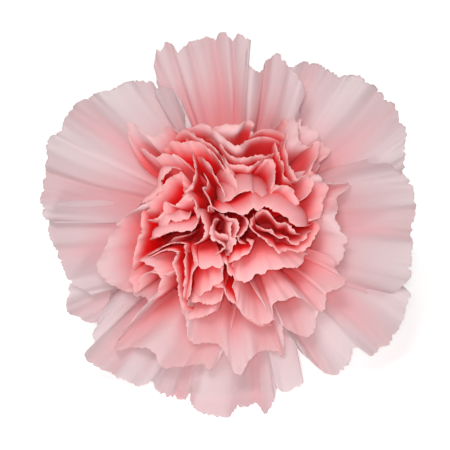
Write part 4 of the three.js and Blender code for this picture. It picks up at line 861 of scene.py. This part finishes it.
def makeStem(material):
    c = stemShape
    middle, along, at = stemLine(c["rows"])
    t = at / at[-1] - c["nodeAt"]  # share of the length past the node
    angle = fullCircle(c["sides"])
    across = levelAcross(along)
    over = np.cross(across, along)
    r = c["radius"] * (1 - c["taper"] * at / at[-1]) + c["swelling"] * np.exp(-(t / 0.03) ** 2)
    r = (r - 0.16 * np.exp(-((t - 0.012) / 0.005) ** 2))[:, None]  # a groove just past it
    r = r + 0.03 * np.sin(11 * angle) + 0.02 * np.sin(5 * angle + 9 * (at / at[-1])[:, None])
    around = np.cos(angle)[:, None] * across[:, None] + np.sin(angle)[:, None] * over[:, None]
    ring = middle[:, None] + r[..., None] * around
    first = [middle[0] + c["intoRing"] * axisOut + (ring[0] - middle[0]) * share for share in (0.02, 0.5, 1)]
    face = [middle[-1] + (ring[-1] - middle[-1]) * share - along[-1] * sunk for share, sunk in c["slice"]]
    ring = np.concatenate([first, ring, face])
    ring[..., 2] = np.maximum(ring[..., 2], 0)
    at = np.concatenate([[-2, -1, -0.6], at, at[-1] + np.arange(1, 7) * 0.3])[:, None]
    tip = np.concatenate([np.zeros(c["rows"] + 3), np.linspace(0.35, 0.9, 7)])[:, None]
    piece = meshPiece("cutStem", ring.reshape(-1, 3) * mm, ringFaces(len(ring), c["sides"]),
                      skinLayer(angle * 2, at, tip))
    dress(piece, material, "stem")


# leaves: a pair of narrow channelled blades that leave the node forwards and curve away
leafShape = {
    "half": 2.6, "thick": 0.5,
    "channel": 0.35, "keel": 0.25,  # how its halves fold up, and how deep its middle nerve lies
    "path": [(6.6, 9, 3.4), (11.5, 20, 4.2), (17.5, 31, 0.6)],  # mm from the node
    "rows": 110, "columns": 28,
}


def makeLeaf(name, node, sign, material):
    c, s = leafShape, stemShape
    middle, tangents, at = stemLine(400)
    start = np.array([np.interp(s["nodeAt"] * at[-1], at, middle[:, k]) for k in range(3)])
    base = (s["radius"] + s["swelling"] - 0.4, 0, 0.5)
    line, along, run = spaceLine([start + (sign * x, y, z) for x, y, z in (base, *c["path"])], c["rows"])
    t = (run / run[-1])[:, None]
    u = np.linspace(-1, 1, c["columns"] + 1)
    half = c["half"] * (0.5 + 0.5 * smooth(0, 0.3, t)) * np.clip(1 - t ** 2.2, 0, 1) ** 0.8 + 0.1
    lift = c["channel"] * half * u ** 2 + 0.1 * np.sin(t * 13 + sign) * np.abs(u)
    lift = lift - c["keel"] * np.exp(-(u / 0.16) ** 2) * (1 - t)
    grid = line[:, None] + levelAcross(along)[:, None] * (half * u)[..., None] + levelUp * lift[..., None]
    points, faces = closedBlade(grid, c["thick"] * (1 - 0.5 * t) * (1 - 0.55 * np.abs(u) ** 3))
    layer = skinLayer(half * u, run[:, None] + 200 * sign, smooth(0.93, 1, t) * 0.75, 2)
    dress(meshPiece(name, points * mm, faces, layer), material, node)


makeBloom(makePetalSkin())
makeCore(makeBaseSkin())
makeCalyx(makeWaxySkin("calyxSkin"))
makeBracts(makeWaxySkin("bractSkin"))
makeStem(makeWaxySkin("stemSkin"))
leafMaterial = makeWaxySkin("leafSkin")
makeLeaf("leafLeft", "leaf_left", -1, leafMaterial)
makeLeaf("leafRight", "leaf_right", 1, leafMaterial)

# studio: a wide pale floor, white surroundings, a soft key from above the face, a weak fill, and a narrow
# soft beam on the heart, which its petals would leave too dark. Places are in the bloom's frame, sizes in
# mm too, powers in watts and the beam's angle in degrees
studio = {
    "floorSize": 3000,
    "floor": "#fbfbfb",
    "grain": 1.11,  # mm, the paper's tooth, drawn coarser than life
    "glow": 0.57,  # the floor's own light, which keeps it as white as the photograph's background
    "surroundings": 0.22,
    "aim": (0, 0, 5),
    "key": {"from": (-100, 300, 570), "size": 200, "power": 2.22},
    "fill": {"from": (200, -120, 550), "size": 300, "power": 0.2},
    "beam": {"from": (-30, 30, 650), "size": 70, "power": 21.5, "angle": 6.5},
}


# matt white paper: no gloss, hardly any tooth
def makePaper():
    s = studio
    material, tree = newMaterial("mattPaper")
    place = addNode(tree, "TexCoord")
    grain = addNode(tree, "TexNoise", {"Scale": 1 / (s["grain"] * mm), "Detail": 2.0},
                    {"Vector": place.outputs["Object"]})
    relief = addNode(tree, "Bump", {"Strength": 0.05, "Distance": 0.1 * mm}, {"Height": grain})
    paper = addNode(tree, "BsdfPrincipled",
                    {"Base Color": colour(s["floor"]), "Roughness": 0.9, "Specular IOR Level": 0.1,
                     "Emission Color": (1, 1, 1, 1), "Emission Strength": s["glow"]}, {"Normal": relief})
    addNode(tree, "OutputMaterial", None, {"Surface": paper})
    return material


def makeStudio():
    s = studio
    corners = [(-1, -1, 0), (1, -1, 0), (1, 1, 0), (-1, 1, 0)]
    floor = meshPiece("floor", np.array(corners) * s["floorSize"] / 2 * mm, [(0, 1, 2, 3)])
    floor.data.materials.append(makePaper())
    world = bpy.data.worlds.new("whiteRoom")
    world.use_nodes = True
    world.node_tree.nodes["Background"].inputs[0].default_value = (1, 1, 1, 1)
    world.node_tree.nodes["Background"].inputs[1].default_value = s["surroundings"]
    bpy.context.scene.world = world
    for name in ("key", "fill", "beam"):
        own = s[name]
        light = bpy.data.lights.new(name + "Light", "SPOT" if "angle" in own else "AREA")
        if "angle" in own:
            light.spot_size = math.radians(own["angle"])
            light.spot_blend = 1.0
            light.shadow_soft_size = own["size"] / 2 * mm
        else:
            light.size = own["size"] * mm
        light.energy = own["power"]
        lamp = bpy.data.objects.new(name + "Light", light)
        bpy.context.scene.collection.objects.link(lamp)
        lamp.location = Vector(toPart(own["from"]))
        lamp.rotation_mode = "QUATERNION"
        lamp.rotation_quaternion = (Vector(toPart(s["aim"])) - lamp.location).to_track_quat("-Z", "Y")
    print("made the studio")


# the camera looks along the bloom's own axis, down on the lying flower
cameraPlace = {
    "away": 600,  # mm from the plane it is framed on
    "plane": 8,
    "span": 94.5,  # mm across the frame, 0.21 a pixel
    "centre": (-2.1, 0.63),  # the frame's middle, right and up of the bloom's
    "sensor": 36,
}


def makeCamera():
    c = cameraPlace
    camera = bpy.data.objects.new("camera", bpy.data.cameras.new("camera"))
    bpy.context.scene.collection.objects.link(camera)
    camera.data.sensor_width = c["sensor"]
    camera.data.lens = c["sensor"] * c["away"] / c["span"]
    camera.data.clip_start = 0.01
    camera.data.clip_end = 20
    camera.location = Vector(toPart([*c["centre"], c["away"] + c["plane"]]))
    camera.rotation_mode = "QUATERNION"
    camera.rotation_quaternion = Matrix(((1, 0, 0), axisUp, axisOut)).transposed().to_quaternion()
    bpy.context.scene.camera = camera


makeStudio()
makeCamera()
# light is handed on many times between the petals
bpy.context.scene.cycles.diffuse_bounces = 10
bpy.context.scene.cycles.transmission_bounces = 10
bpy.context.scene.view_settings.view_transform = "Standard"
